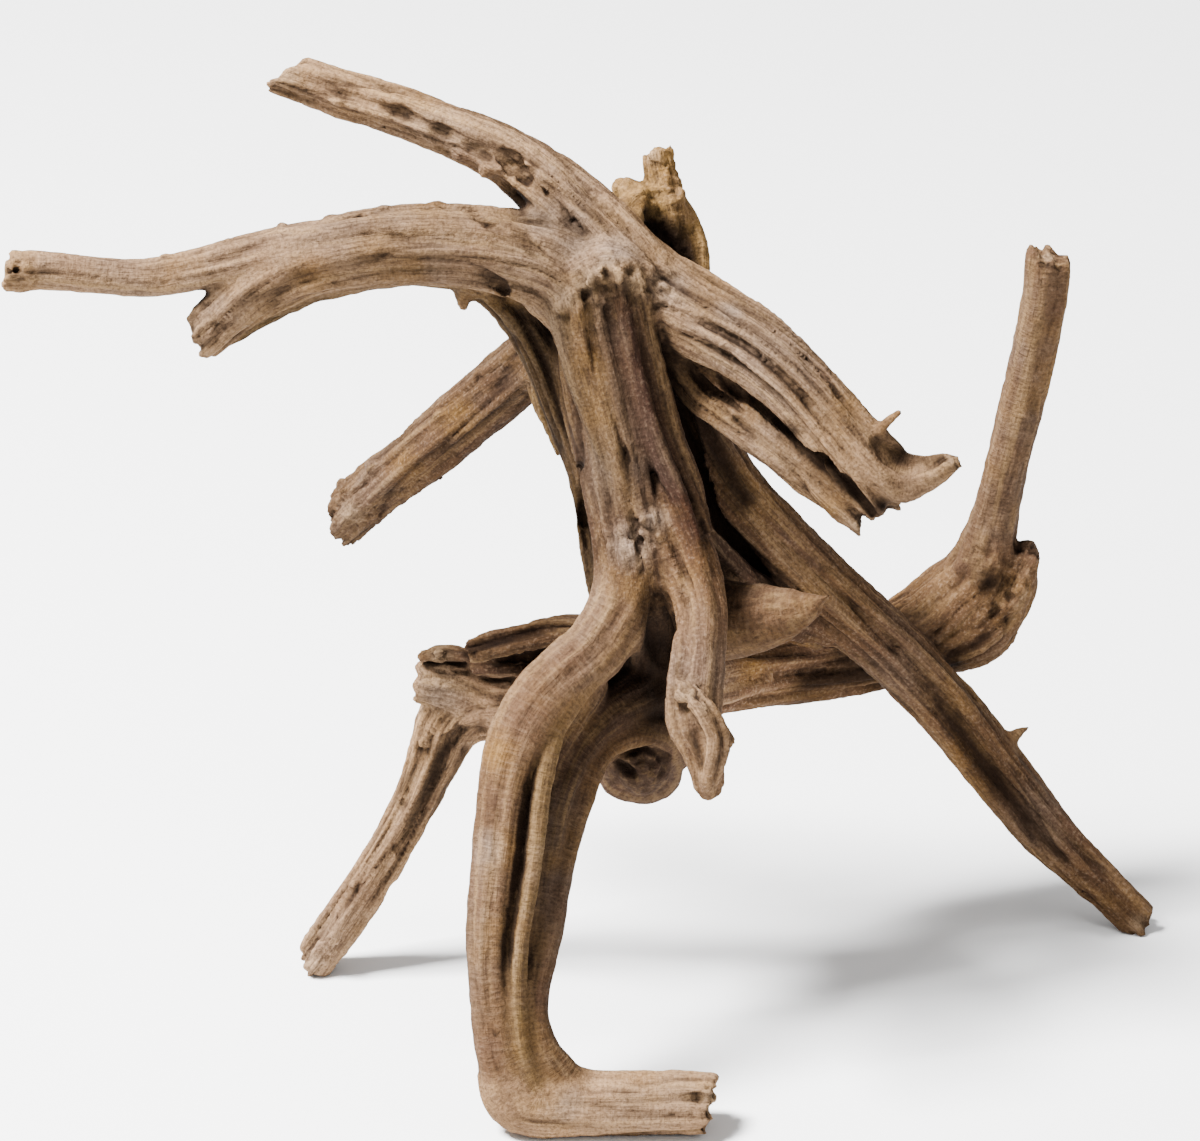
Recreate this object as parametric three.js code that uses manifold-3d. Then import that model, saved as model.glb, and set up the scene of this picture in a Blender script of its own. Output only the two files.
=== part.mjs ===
// A gnarled piece of driftwood: one root that stands on three of its limbs, in millimetres, +Z up.
// Each limb is drawn as a curve with a half-width at every point. A round blank is bent along the
// curve, fluted like weathered wood, and fused with the others. Hollows are then cut out of the whole.

import * as THREE from "three";
import { mergeVertices } from "three/addons/utils/BufferGeometryUtils.js";
import Module from "manifold-3d";

const wasm = await Module();
wasm.setup();

// The drawing sheet shows the wood from the front and a little above. A point on it is given by
// how far across and down the sheet it is, and how far back it lies over the table.
const SHEET_WIDTH = 240;
const SHEET_HEIGHT = 228.2;
const VIEW_TILT = THREE.MathUtils.degToRad(25);
const VIEW_DISTANCE = 1200;
const SHEET_MIDDLE_HEIGHT = 96;

// The middle of the wood's own outline, measured from the sheet's middle, becomes the origin.
const MIDDLE_ACROSS = 1;
const MIDDLE_BACK = -6;

// A limb is made of rings. They lie further apart on a thick limb than on a thin one.
const RING_STEP = 5.8;
const RING_STEP_PER_WIDTH = 0.5;
const FEWEST_RINGS = 4;
const CURVE_TENSION = 0.5;
const SIDES_PER_FLUTE = 2;

// The rim of a broken end is worn round: one more ring lies close to it, and it is a little narrower.
const WORN_EDGE = 1.3;
const LONGEST_EDGE_SHARE = 0.2;
const WORN_WIDTH = 0.82;

// The shape of the ridges, and the height at which a limb has its stated half-width.
const RIDGE_ROUNDNESS = 0.7;
const RIDGE_MEAN = 0.62;

// Points of a blank closer together than this are one point.
const MERGE_DISTANCE = 1e-4;
const FLOOR_BLOCK = 500;

// Each limb's points are [across, down, back, half-width]. flutes is the number of ridges round it,
// groove how deep the valleys between them are as a share of its half-width, and twist how far
// the ridges turn from one end to the other, in degrees. A slant is how far a broken end leans
// along the limb, and the side of it that leans forward, in degrees from the side that is drawn.
const LIMBS = {
  upperLeft: {
    flutes: 6, groove: 0.2, twist: 30, startSlant: [-3, 90],
    points: [
      [57, 14.8, 14, 4.4], [66, 17.8, 13, 4.4], [80, 22, 11, 4.7], [90, 25.6, 9, 5.1],
      [100, 30, 7, 5.6], [109, 36.4, 5, 6.5], [117, 44, 3, 7.4], [124, 52, 1, 8], [130, 60, 0, 8],
      [136, 68, -1, 5],
    ],
  },
  upperRight: {
    flutes: 7, groove: 0.2, twist: 15, endSlant: [-4, 0],
    points: [
      [111, 43, 3, 4], [122, 52, 1, 7], [131, 58, -1, 7.6], [140.6, 63.4, -4, 7.6], [150.6, 69.2, -8, 7.2],
      [159.6, 76.6, -12, 6.9], [166.8, 84.6, -15, 6.7], [172.4, 91.4, -16.6, 6.6], [178.6, 99.4, -18, 5.6],
    ],
  },
  horn: {
    flutes: 3, groove: 0.12, twist: 0, endSlant: [1.5, 90],
    points: [
      [167, 84, -14, 5.4], [174, 91.6, -16.6, 6.2], [180, 95.4, -18, 5.4], [185.6, 94.6, -19.4, 3.7],
      [190.6, 91.8, -21, 2.5],
    ],
  },
  spike: {
    flutes: 3, groove: 0.05, twist: 0,
    points: [[173, 88.4, -17, 2.4], [176, 85.8, -18, 1.4], [179.8, 82.6, -20, 0.8]],
  },
  splinterLong: {
    flutes: 4, groove: 0.15, twist: 0, endSlant: [1.5, 90],
    points: [
      [131, 64, 2, 5], [138, 77, -2, 3.2], [144, 82.2, -6, 3.2], [152, 87.4, -10, 3.7],
      [160, 94, -13, 3.4], [167, 100.8, -15, 2.6], [172.4, 106, -17, 1.6],
    ],
  },
  splinterInner: {
    flutes: 4, groove: 0.14, twist: 0,
    points: [
      [142, 72, -2, 4], [150, 78.8, -7, 3.4], [159, 87.6, -11, 2.8], [167, 96, -14, 2.6],
      [174.6, 102.2, -17, 2],
    ],
  },
  left: {
    flutes: 7, groove: 0.17, twist: 20, endSlant: [-1.5, 90],
    points: [
      [124, 76, 0, 7], [119.6, 63, 1, 8.8], [111, 54, -1.6, 9.2], [100, 50.4, -4, 8.5], [90, 49.2, -6, 8],
      [80, 49.2, -8, 7.7], [70, 50.4, -10, 7.5], [60, 53, -12, 7], [51, 57.6, -13, 6.2],
      [45, 62.6, -14, 5.4], [39.8, 67.4, -14, 4.8],
    ],
  },
  leftTip: {
    flutes: 5, groove: 0.12, twist: 20,
    points: [
      [74, 50.6, -10, 4], [62, 50.2, -12, 5.8], [52, 51, -12, 5.2], [40, 53.6, -13, 4.5], [30, 55.4, -14, 4],
      [20, 54.8, -15, 3.8], [10, 53.8, -16, 4], [1.4, 53.8, -17, 4.3],
    ],
  },
  leftUnderlip: {
    flutes: 3, groove: 0.08, twist: 0,
    points: [
      [44, 66.6, -9, 3], [52, 63, -7, 3], [64, 57.6, -5, 3], [80, 54.2, -3, 3.1],
      [92, 55.4, -1, 3.4], [100.6, 60, 1, 4], [107.6, 70, 2, 4.2], [112.8, 83, 1, 4.3], [117, 96.6, -2, 3.6],
      [118.4, 108, -5, 2.8], [119.4, 119, -8, 2],
    ],
  },
  leftTooth: {
    flutes: 3, groove: 0.05, twist: 0,
    points: [[94, 56.4, -1, 2.6], [92.6, 60.4, -1, 1.6], [92.2, 62.6, -1.4, 0.9]],
  },
  backLeft: {
    flutes: 6, groove: 0.17, twist: 25, endSlant: [-2.6, 90],
    points: [
      [127, 57, 2, 7], [120, 62, 6, 8], [113, 68, 12, 7], [105.2, 73.8, 18, 6.2], [93.6, 83.2, 27, 6.2],
      [90.6, 85.6, 29.4, 6.5], [82, 92.4, 36, 5.9], [73.2, 99.8, 43, 5.7], [68.8, 103.8, 46, 5.3],
    ],
  },
  backSplinter: {
    flutes: 3, groove: 0.15, twist: 0,
    points: [[110, 66, 10, 3], [107.6, 74, 11, 2.4], [109.2, 83, 10.4, 2.1], [111.4, 90.8, 9.6, 0.9]],
  },
  trunk: {
    flutes: 8, groove: 0.12, twist: 10,
    points: [
      [121, 55, 2, 8.6], [120.8, 66, 1, 9.6], [122, 78, -2, 9.9], [124.2, 89, -6, 9.8],
      [126.6, 100, -10, 9.8], [128.6, 110, -13, 10], [130, 120, -14, 9.2], [131, 130, -8, 8.6],
    ],
  },
  trunkRidgeLeft: {
    flutes: 3, groove: 0.05, twist: 0,
    points: [
      [110, 58, -7, 2], [113.4, 66, -8.2, 2.4], [116.6, 78, -10.2, 2.4], [119.6, 90, -14.2, 2.2],
      [123, 101, -18.6, 1.4],
    ],
  },
  trunkRidgeMiddle: {
    flutes: 3, groove: 0.05, twist: 0,
    points: [
      [118, 59, -8, 2], [121.4, 72, -9.6, 2.2], [124.4, 85, -13.6, 2.2], [128, 97, -18.6, 1.4],
    ],
  },
  trunkRidgeRight: {
    flutes: 3, groove: 0.05, twist: 0,
    points: [
      [125, 59, -7.6, 2.2], [128.4, 72, -7.8, 2.4], [131.4, 86, -11, 2.4], [134.4, 98, -16, 2.2],
      [138, 109, -19.4, 2],
    ],
  },
  trunkWeb: {
    flutes: 3, groove: 0.05, twist: 0,
    points: [
      [129, 66, 5, 6], [133.6, 82, 6, 6.4], [138, 96, 8, 6.4], [145, 108, 11, 6.2], [153, 116, 16, 4.4],
    ],
  },
  frontFat: {
    flutes: 6, groove: 0.08, twist: 0,
    points: [
      [127, 94, -8, 6], [128, 108, -13, 7], [124.8, 120, -18, 6.6], [119.6, 129, -22, 6.3],
      [113, 135, -26, 6.4],
      [107.2, 141.4, -30, 6.3], [103, 149.6, -34, 5.8], [100.6, 158.6, -38, 5.1],
      [99.2, 170.2, -43, 4.8], [98, 182.4, -48, 4.5], [97.6, 191.6, -51.4, 4.3],
      [98.4, 201, -54, 4.4], [100, 211, -56, 4.8], [103.4, 219, -56, 6.2],
    ],
  },
  frontWeb: {
    flutes: 3, groove: 0.05, twist: 0,
    points: [
      [116, 137, -22, 5.6], [108.6, 150, -30, 4.8], [105.8, 160, -35.2, 4.3], [104.6, 170, -40, 4.2],
      [103.8, 182, -45, 4], [103, 192, -48.4, 3.9], [102.6, 202, -51.4, 4.1], [104.6, 212, -53.6, 4.8],
    ],
  },
  frontThin: {
    flutes: 3, groove: 0.05, twist: 0,
    points: [
      [118, 136, -27, 2], [111.4, 145.6, -33, 2.2], [108.6, 157, -39, 2.1], [107, 170.2, -44.4, 2],
      [105.4, 180, -48.4, 2], [104, 188.6, -51.8, 2], [103.4, 198, -55, 2.1], [104.2, 209, -57.6, 2.2],
      [107, 217.6, -58, 2.4],
    ],
  },
  frontInner: {
    flutes: 3, groove: 0.05, twist: 0,
    points: [
      [131, 136, -10, 7], [121, 142.4, -20, 5.6], [114.6, 150, -27, 4.3], [110.8, 160, -34, 3.6],
      [109, 170, -39, 3.2], [107.6, 181, -44.4, 3], [106, 192, -48.6, 2.8], [105.6, 203, -52, 3],
    ],
  },
  frontOuter: {
    flutes: 4, groove: 0.08, twist: 0,
    points: [
      [134.4, 153, -11, 2.8], [132.6, 149.4, -14, 3.2], [127.6, 148, -17, 3.4], [122, 149.6, -21, 3.6],
      [117.8, 153.8, -25.4, 3.6], [115.2, 160, -30, 3.6], [112.4, 168.4, -35.4, 3.6],
      [110.8, 177, -40.8, 3.4], [109.4, 186, -46, 3.3], [107.4, 195, -50.4, 3.2],
      [106.6, 202, -53, 3.3], [108, 210, -54.6, 4.2], [112.6, 217.2, -55, 5.2],
    ],
  },
  foot: {
    flutes: 6, groove: 0.08, twist: 0, endSlant: [-1, 90],
    points: [
      [101.6, 217.6, -56.4, 5.6], [106.4, 220.8, -56.4, 6.4], [116, 221, -56.4, 6.5],
      [128, 221, -56.4, 6.4], [137, 220.8, -56.4, 6.3], [142.2, 221, -56.4, 6.2],
    ],
  },
  frontStub: {
    flutes: 5, groove: 0.15, twist: 40,
    points: [
      [129, 90, -8, 6], [133, 103, -13, 6.8], [137.2, 113, -18, 6.4], [140, 121, -24, 5.4],
      [140.2, 130, -30, 5.1],
      [139.2, 138, -35, 5.3], [139, 145, -39, 5.3], [140.8, 151.4, -42, 4.5], [141.8, 159, -44, 3.7],
    ],
  },
  frontStubLobe: {
    flutes: 3, groove: 0.05, twist: 0,
    points: [[135.6, 137, -37, 3], [135.6, 145, -41, 2.8], [138.6, 152.4, -43.6, 2.2]],
  },
  frontStubKnot: {
    flutes: 3, groove: 0.1, twist: 0,
    points: [[140, 144, -38, 3.8], [145.2, 148.2, -38, 2]],
  },
  fin: {
    flutes: 3, groove: 0.16, twist: 0, endSlant: [2, -90],
    points: [
      [138, 124, -9, 8.6], [146, 124, -12, 8], [153, 123.4, -15, 6.6], [159, 122.2, -18, 4.6],
      [164.8, 120.6, -20.6, 1.5],
    ],
  },
  long: {
    flutes: 6, groove: 0.16, twist: -25, endSlant: [1.5, 90],
    points: [
      [119, 54, 3, 6], [127, 66, 5, 7.2], [134.4, 78.4, 9, 7.6], [139.4, 88.6, 12, 7.6],
      [145.4, 98.2, 15, 7.6],
      [154.8, 108.4, 18, 7.4], [164.4, 117.6, 20, 7.1], [173.2, 125.6, 22, 6.8], [180.6, 132.4, 24, 6.6],
      [191, 143.2, 25.6, 6.1], [200.8, 155.6, 27, 6], [210.6, 167.4, 27.4, 5.5], [221, 177.8, 27.6, 4.4],
      [228.4, 185.2, 27.4, 3.9],
    ],
  },
  longThorn: {
    flutes: 3, groove: 0.05, twist: 0,
    points: [[200.6, 149, 27, 2.4], [203, 147, 30, 1.3], [205.4, 145.6, 32, 0.6]],
  },
  cross: {
    flutes: 7, groove: 0.16, twist: 30,
    points: [
      [112, 135.6, 5, 7.2], [124, 135, 5, 8.2], [136, 136, 10, 7.8], [146, 134.8, 20, 6.7],
      [156, 133.4, 28, 6.3], [166, 132, 33, 6.7], [176, 129.6, 36, 7.6], [185, 125.6, 38, 8.6],
      [192, 119.4, 39, 8],
    ],
  },
  upright: {
    flutes: 5, groove: 0.1, twist: 15, endSlant: [-1.4, 90],
    points: [
      [189, 122, 39, 7.8], [195.4, 114, 39, 6.6], [198.8, 104, 39, 4.9], [201.2, 94, 38, 4.5],
      [204.4, 81, 37, 4.5], [207, 69.8, 36, 4.6], [209, 60, 35, 4.7], [209.8, 51.2, 34.5, 4.7],
    ],
  },
  heel: {
    flutes: 5, groove: 0.14, twist: 0,
    points: [
      [182, 128, 37, 6.6], [190, 126.6, 38, 7.6], [197, 123.6, 38, 7.3], [202.2, 117.4, 38, 4.8],
      [205.4, 111.6, 38, 3.2],
    ],
  },
  crossUnderlip: {
    flutes: 3, groove: 0.05, twist: 0,
    points: [
      [140, 138.4, 15, 3.2], [150, 138.8, 22, 3], [162, 137.6, 30, 3.2], [173, 135.4, 35, 3.4],
      [184, 132, 38, 3.4],
    ],
  },
  leg: {
    flutes: 6, groove: 0.17, twist: 30, endSlant: [-2.5, 90],
    points: [
      [124, 136, 5, 8], [112, 138.2, 5.4, 8], [103, 140, 7, 7.8], [95, 140.6, 8.4, 7.2],
      [89.8, 144.4, 9, 6.6], [87.2, 151, 9.6, 5.8], [84.6, 157, 10, 5.2], [80.8, 164.6, 10, 4.7],
      [74.6, 174.6, 9.8, 4.6], [68.4, 184, 9.6, 4.5], [62, 193, 9.4, 4.2],
    ],
  },
  shoulder: {
    flutes: 4, groove: 0.12, twist: 0,
    points: [[100, 139.6, 8, 6.6], [92, 136.6, 8, 6.4], [83.6, 135, 8, 5.5]],
  },
  barkSplinter: {
    flutes: 3, groove: 0.12, twist: 0,
    points: [[125, 130, -2, 6], [114, 126, 0, 3.4], [103, 127.6, -1, 2.6], [93.2, 130.2, -2, 2.2]],
  },
  barkWeb: {
    flutes: 3, groove: 0.05, twist: 0,
    points: [[122, 131, 3, 5], [112, 131, 3, 3.6], [102, 132, 3, 2.8]],
  },
  curl: {
    flutes: 3, groove: 0.05, twist: 0,
    points: [
      [134, 151.6, -11, 2.6], [133.2, 156.4, -12, 2.6], [128.4, 158.2, -13, 2.6],
      [123.2, 156.8, -14, 2.4], [121.6, 153.6, -15, 1.8], [124, 151, -15.6, 1.5],
    ],
  },
  curlHeart: {
    flutes: 3, groove: 0.05, twist: 0,
    points: [[127, 138, 2, 7.2], [128, 146, -5, 6.8], [128.4, 153.2, -12.6, 5.8]],
  },
  topArch: {
    flutes: 4, groove: 0.1, twist: 0,
    points: [
      [139, 61, 8, 3.4], [139.8, 54, 13, 2.4], [138.8, 47.6, 17, 2.9], [135.4, 43, 18.6, 3.3],
      [131, 40.6, 17.6, 3.5], [127, 41, 14, 3], [124.6, 45, 6, 4],
    ],
  },
  topWall: {
    flutes: 3, groove: 0.05, twist: 0,
    points: [[132, 60, 5, 6], [132.8, 52.6, 13, 6], [132.4, 46.4, 17, 4.6]],
  },
  topNub: {
    flutes: 4, groove: 0.14, twist: 0,
    points: [[132.6, 42, 17.4, 4.2], [132.2, 36, 18.6, 4], [131, 29.8, 20, 2.9]],
  },
  topBud: {
    flutes: 3, groove: 0.05, twist: 0,
    points: [[129.6, 41.6, 16, 3.2], [126, 38.8, 16.6, 3], [124.8, 36, 16.8, 2.1]],
  },
};

// Hollows are cut with the same kind of blank, each a short way into the surface it runs along.
const HOLLOWS = {
  hubPit: {
    points: [[95, 43.6, -10.6, 0.6], [100, 46, -10.8, 2.2], [107, 50.4, -10, 2.1], [116, 57, -8.4, 1]],
  },
  forkHole: { points: [[101.6, 32.6, 2, 1.4], [103.4, 34, 1.6, 2.2], [106, 36.8, 0.8, 1.4]] },
  pitOne: { points: [[81, 21.6, 6.6, 0.9], [83.6, 22.8, 6.2, 1.8], [86, 24, 6, 0.8]] },
  pitTwo: { points: [[86.8, 24.8, 5.2, 0.9], [89, 25.8, 4.8, 1.8], [91.4, 27, 4.6, 0.8]] },
  trunkSlit: {
    points: [[115.6, 92, -5, 0.6], [116.4, 100, -6.4, 1.8], [117.4, 109, -8, 1.5], [118.6, 116, -10, 0.6]],
  },
  stubSlit: { points: [[135.6, 112, -24, 0.7], [137.2, 118, -27.6, 1.5], [137.8, 126, -32, 0.7]] },
  longHollow: {
    points: [
      [186, 138.4, 19.6, 0.8], [193.6, 149, 21.4, 2.3], [201, 158.8, 22.4, 2.5], [208.4, 168, 23.4, 1],
    ],
  },
  legPit: { points: [[93.4, 145.6, 4.6, 0.8], [90, 150.4, 5, 2.1], [86, 158, 6, 1.7], [81, 167, 7, 0.7]] },
  rightGrooveUpper: {
    points: [[136, 56.8, -6, 0.7], [146, 62.4, -10.6, 1.8], [157, 69, -15, 1.8], [167, 79.6, -19.4, 0.7]],
  },
  rightGrooveLower: {
    points: [[131.6, 58.4, -7.4, 0.8], [138, 65, -10.4, 2.1], [146, 70.6, -14, 1.8], [153, 75, -17, 0.7]],
  },
  curlHole: { points: [[124.4, 152.8, -12, 1.8], [124.6, 153.4, -20, 2]] },
};
const HOLLOW_SHAPE = { flutes: 3, groove: 0, twist: 0 };

// A point of the drawing, placed in the part's own frame. spread is how much larger
// a thing is than it is drawn, because it lies further off than the sheet.
function place([across, down, back]) {
  const right = across - SHEET_WIDTH / 2;
  const up = SHEET_HEIGHT / 2 - down;
  const sin = Math.sin(VIEW_TILT);
  const cos = Math.cos(VIEW_TILT);
  const depth = (back - up * sin) / (cos + (up * sin) / VIEW_DISTANCE);
  const spread = 1 + depth / VIEW_DISTANCE;
  const height = SHEET_MIDDLE_HEIGHT + up * cos * spread - depth * sin;
  return { spread, at: new THREE.Vector3(right * spread - MIDDLE_ACROSS, back - MIDDLE_BACK, height) };
}

// Ridges with round tops and narrow valleys: how far the surface stands from its half-width.
function ridge(angle, { flutes, groove }) {
  const height = Math.abs(Math.sin((angle * flutes) / 2)) ** RIDGE_ROUNDNESS;
  return 1 + groove * (height - RIDGE_MEAN);
}

// The share of the way along a limb of each ring, with one more ring close to each end.
function ringShares(length, steps) {
  const edge = Math.min(WORN_EDGE / length, LONGEST_EDGE_SHARE);
  const inner = Array.from({ length: steps - 1 }, (_, i) => edge + ((1 - 2 * edge) * i) / (steps - 2));
  return [0, ...inner, 1];
}

// How far a point of a broken end lies ahead of the end's middle.
function leanAt(ring, steps, startSlant, endSlant, turn) {
  const nearest = ring <= 1 ? startSlant : endSlant;
  const broken = ring <= 1 || ring >= steps - 1;
  return broken ? nearest[0] * Math.cos(turn - THREE.MathUtils.degToRad(nearest[1])) : 0;
}

// A round blank bent along a limb's curve, fluted, with its two ends worn round.
function bent({ points, flutes, groove, twist, startSlant = [0, 0], endSlant = [0, 0] }) {
  const placed = points.map(place);
  const curve = new THREE.CatmullRomCurve3(placed.map((p) => p.at), false, "catmullrom", CURVE_TENSION);
  const widths = points.map((p, i) => p[3] * placed[i].spread);
  const mean = widths.reduce((sum, width) => sum + width, 0) / widths.length;
  const length = curve.getLength();
  const step = RING_STEP + RING_STEP_PER_WIDTH * mean;
  const steps = Math.max(FEWEST_RINGS, Math.round(length / step) + 2);
  const shares = ringShares(length, steps);
  const blank = new THREE.CylinderGeometry(1, 1, 1, SIDES_PER_FLUTE * flutes, steps);
  const toViewer = new THREE.Vector3(0, -Math.cos(VIEW_TILT), Math.sin(VIEW_TILT));
  const position = blank.attributes.position;
  for (let i = 0; i < position.count; i++) {
    const ring = Math.round((position.getY(i) + 0.5) * steps);
    const t = curve.getUtoTmapping(shares[ring]);
    const along = curve.getTangent(t);
    const side = new THREE.Vector3().crossVectors(along, toViewer).normalize();
    const front = new THREE.Vector3().crossVectors(side, along);
    const reach = Math.hypot(position.getX(i), position.getZ(i));
    const angle = Math.atan2(position.getX(i), position.getZ(i));
    const turn = angle + THREE.MathUtils.degToRad(twist) * t;
    const span = t * (widths.length - 1);
    const before = Math.min(Math.floor(span), widths.length - 2);
    const width = THREE.MathUtils.lerp(widths[before], widths[before + 1], span - before);
    const worn = ring === 0 || ring === steps ? WORN_WIDTH : 1;
    const out = reach * width * worn * ridge(angle, { flutes, groove });
    const lean = leanAt(ring, steps, startSlant, endSlant, turn) * reach;
    const point = curve.getPoint(t).addScaledVector(along, lean);
    point.addScaledVector(front, out * Math.cos(turn)).addScaledVector(side, out * Math.sin(turn));
    position.setXYZ(i, point.x, point.y, point.z);
  }
  return blank;
}

// A closed geometry as a solid that can be joined and cut.
function solidOf(geometry) {
  const bare = geometry.clone();
  bare.deleteAttribute("normal");
  bare.deleteAttribute("uv");
  const merged = mergeVertices(bare, MERGE_DISTANCE);
  const vertProperties = merged.attributes.position.array;
  const triVerts = new Uint32Array(merged.index.array);
  return new wasm.Manifold(new wasm.Mesh({ numProp: 3, vertProperties, triVerts }));
}

// A solid as a geometry to draw.
function geometryOf(solid) {
  const { vertProperties, triVerts } = solid.getMesh();
  const geometry = new THREE.BufferGeometry();
  geometry.setAttribute("position", new THREE.BufferAttribute(vertProperties, 3));
  geometry.setIndex(new THREE.BufferAttribute(triVerts, 1));
  geometry.computeVertexNormals();
  return geometry;
}

// Everything below the table is cut off, which leaves three small flat feet.
function belowTable() {
  const block = new THREE.BoxGeometry(FLOOR_BLOCK, FLOOR_BLOCK, FLOOR_BLOCK);
  return solidOf(block.translate(0, 0, -FLOOR_BLOCK / 2));
}

// The limbs fused into one piece of wood, with the hollows cut into it.
function driftwood() {
  const limbs = Object.values(LIMBS).map((limb) => solidOf(bent(limb)));
  const hollows = Object.values(HOLLOWS).map((hollow) => solidOf(bent({ ...HOLLOW_SHAPE, ...hollow })));
  const wood = limbs.reduce((joined, limb) => joined.add(limb));
  return [...hollows, belowTable()].reduce((left, hollow) => left.subtract(hollow), wood);
}

const weatheredWood = new THREE.MeshStandardMaterial({ color: 0x8f7558, roughness: 0.85, metalness: 0 });
const mesh = new THREE.Mesh(geometryOf(driftwood()), weatheredWood);
mesh.name = "driftwood";

const group = new THREE.Group();
group.add(mesh);

export default group;
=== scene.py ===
# %% [markdown]
# # A piece of driftwood
#
# The real thing is one root that the water has stripped and worn. Its limbs twist out of a hub, and
# every limb has long ridges with dark furrows between them. This lesson dresses the plain solid that
# the frame holds: it grows the same limbs again as a smooth body, gives them relief, and paints them.

# %% Load the fixed frame
import math

import bpy
import numpy as np
import openvdb
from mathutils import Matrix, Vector


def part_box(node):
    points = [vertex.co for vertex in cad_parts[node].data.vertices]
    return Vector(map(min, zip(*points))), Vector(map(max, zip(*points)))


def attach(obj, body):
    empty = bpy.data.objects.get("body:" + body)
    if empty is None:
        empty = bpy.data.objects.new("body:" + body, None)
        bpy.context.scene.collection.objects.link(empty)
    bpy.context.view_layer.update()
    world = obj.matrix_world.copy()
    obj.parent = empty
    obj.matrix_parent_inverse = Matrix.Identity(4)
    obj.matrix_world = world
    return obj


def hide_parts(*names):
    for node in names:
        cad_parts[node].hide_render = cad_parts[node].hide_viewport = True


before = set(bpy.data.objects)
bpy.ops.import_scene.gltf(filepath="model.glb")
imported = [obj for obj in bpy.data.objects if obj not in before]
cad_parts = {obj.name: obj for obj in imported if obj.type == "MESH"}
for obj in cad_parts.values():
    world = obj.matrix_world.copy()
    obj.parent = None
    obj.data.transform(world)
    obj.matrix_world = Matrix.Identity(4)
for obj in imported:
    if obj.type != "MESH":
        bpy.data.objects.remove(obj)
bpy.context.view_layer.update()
MM = 0.001

# %% [markdown]
# ## The drawing sheet and the camera
#
# The limbs are drawn on a sheet that shows the wood from the front and a little above. A point has
# how far across and down the sheet it is, and how far back it lies over the table. The camera stands
# where that sheet is seen square on, so the sheet and the picture are the same thing.

# %% The sheet, the camera and the point it looks at
SHEET_WIDTH = 240.0
SHEET_HEIGHT = 228.2
VIEW_TILT = math.radians(25)
VIEW_DISTANCE = 1200.0
SHEET_MIDDLE_HEIGHT = 96.0
MIDDLE_ACROSS = 1.0
MIDDLE_BACK = -6.0
SENSOR_WIDTH = 36.0

TO_VIEWER = np.array([0.0, -math.cos(VIEW_TILT), math.sin(VIEW_TILT)])
looked_at = np.array([-MIDDLE_ACROSS, -MIDDLE_BACK, SHEET_MIDDLE_HEIGHT])


def add_camera():
    """The camera that sees the whole sheet, square on."""
    data = bpy.data.cameras.new("camera")
    data.sensor_width = SENSOR_WIDTH
    data.lens = SENSOR_WIDTH * VIEW_DISTANCE / SHEET_WIDTH
    camera = bpy.data.objects.new("camera", data)
    camera.location = (looked_at + TO_VIEWER * VIEW_DISTANCE) * MM
    camera.rotation_euler = Vector(-TO_VIEWER).to_track_quat("-Z", "Y").to_euler()
    bpy.context.scene.collection.objects.link(camera)
    bpy.context.scene.camera = camera
    return camera


camera = add_camera()
print("camera at", [round(v, 3) for v in camera.location], "lens", camera.data.lens)


# %% A point of the sheet, placed in the frame
def placed(points):
    """The frame's points, in mm, and how much larger a thing there is than it is drawn."""
    across, down, back = np.asarray(points, float)[:, :3].T
    right = across - SHEET_WIDTH / 2
    up = SHEET_HEIGHT / 2 - down
    sine, cosine = math.sin(VIEW_TILT), math.cos(VIEW_TILT)
    depth = (back - up * sine) / (cosine + up * sine / VIEW_DISTANCE)
    spread = 1 + depth / VIEW_DISTANCE
    height = SHEET_MIDDLE_HEIGHT + up * cosine * spread - depth * sine
    return np.stack([right * spread - MIDDLE_ACROSS, back - MIDDLE_BACK, height], 1), spread


print("the sheet's middle lies at", placed([[SHEET_WIDTH / 2, SHEET_HEIGHT / 2, 0]])[0].round(1))

# %% [markdown]
# ## The studio
#
# A plain pale floor, one large soft light from the upper left and a weaker one from the right, and a
# pale world that fills the shadows. The wood is matt, so soft light shows its ridges best.

# %% Floor, lights and world
FLOOR_SIZE = 6.0
FLOOR_COLOUR = (0.8, 0.8, 0.8, 1.0)


def add_floor():
    """A wide pale plane that the wood stands on."""
    half = FLOOR_SIZE / 2
    mesh = bpy.data.meshes.new("floor")
    corners = [(-half, -half, 0), (half, -half, 0), (half, half, 0), (-half, half, 0)]
    mesh.from_pydata(corners, [], [(0, 1, 2, 3)])
    floor = bpy.data.objects.new("floor", mesh)
    bpy.context.scene.collection.objects.link(floor)
    paint = bpy.data.materials.new("pale floor")
    paint.use_nodes = True
    shader = paint.node_tree.nodes["Principled BSDF"]
    shader.inputs["Base Color"].default_value = FLOOR_COLOUR
    shader.inputs["Roughness"].default_value = 0.9
    mesh.materials.append(paint)
    return floor


def add_light(name, place, size, power):
    """A square soft light that faces the middle of the wood."""
    data = bpy.data.lights.new(name, "AREA")
    data.size = size
    data.energy = power
    light = bpy.data.objects.new(name, data)
    light.location = place
    aim = Vector(looked_at * MM) - Vector(place)
    light.rotation_euler = aim.to_track_quat("-Z", "Y").to_euler()
    bpy.context.scene.collection.objects.link(light)
    return light


def light_world(colour, strength):
    """An even pale surrounding that fills the shadows."""
    world = bpy.data.worlds.new("studio")
    world.use_nodes = True
    background = world.node_tree.nodes["Background"]
    background.inputs["Color"].default_value = colour
    background.inputs["Strength"].default_value = strength
    bpy.context.scene.world = world


floor = add_floor()
key = add_light("key light", (-0.75, -0.2, 1.3), 0.45, 190)
side = add_light("side light", (0.9, -0.6, 0.6), 0.8, 3)
light_world((1.0, 1.0, 1.0, 1.0), 0.7)
print("lights:", key.data.energy, side.data.energy, "W")

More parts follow.
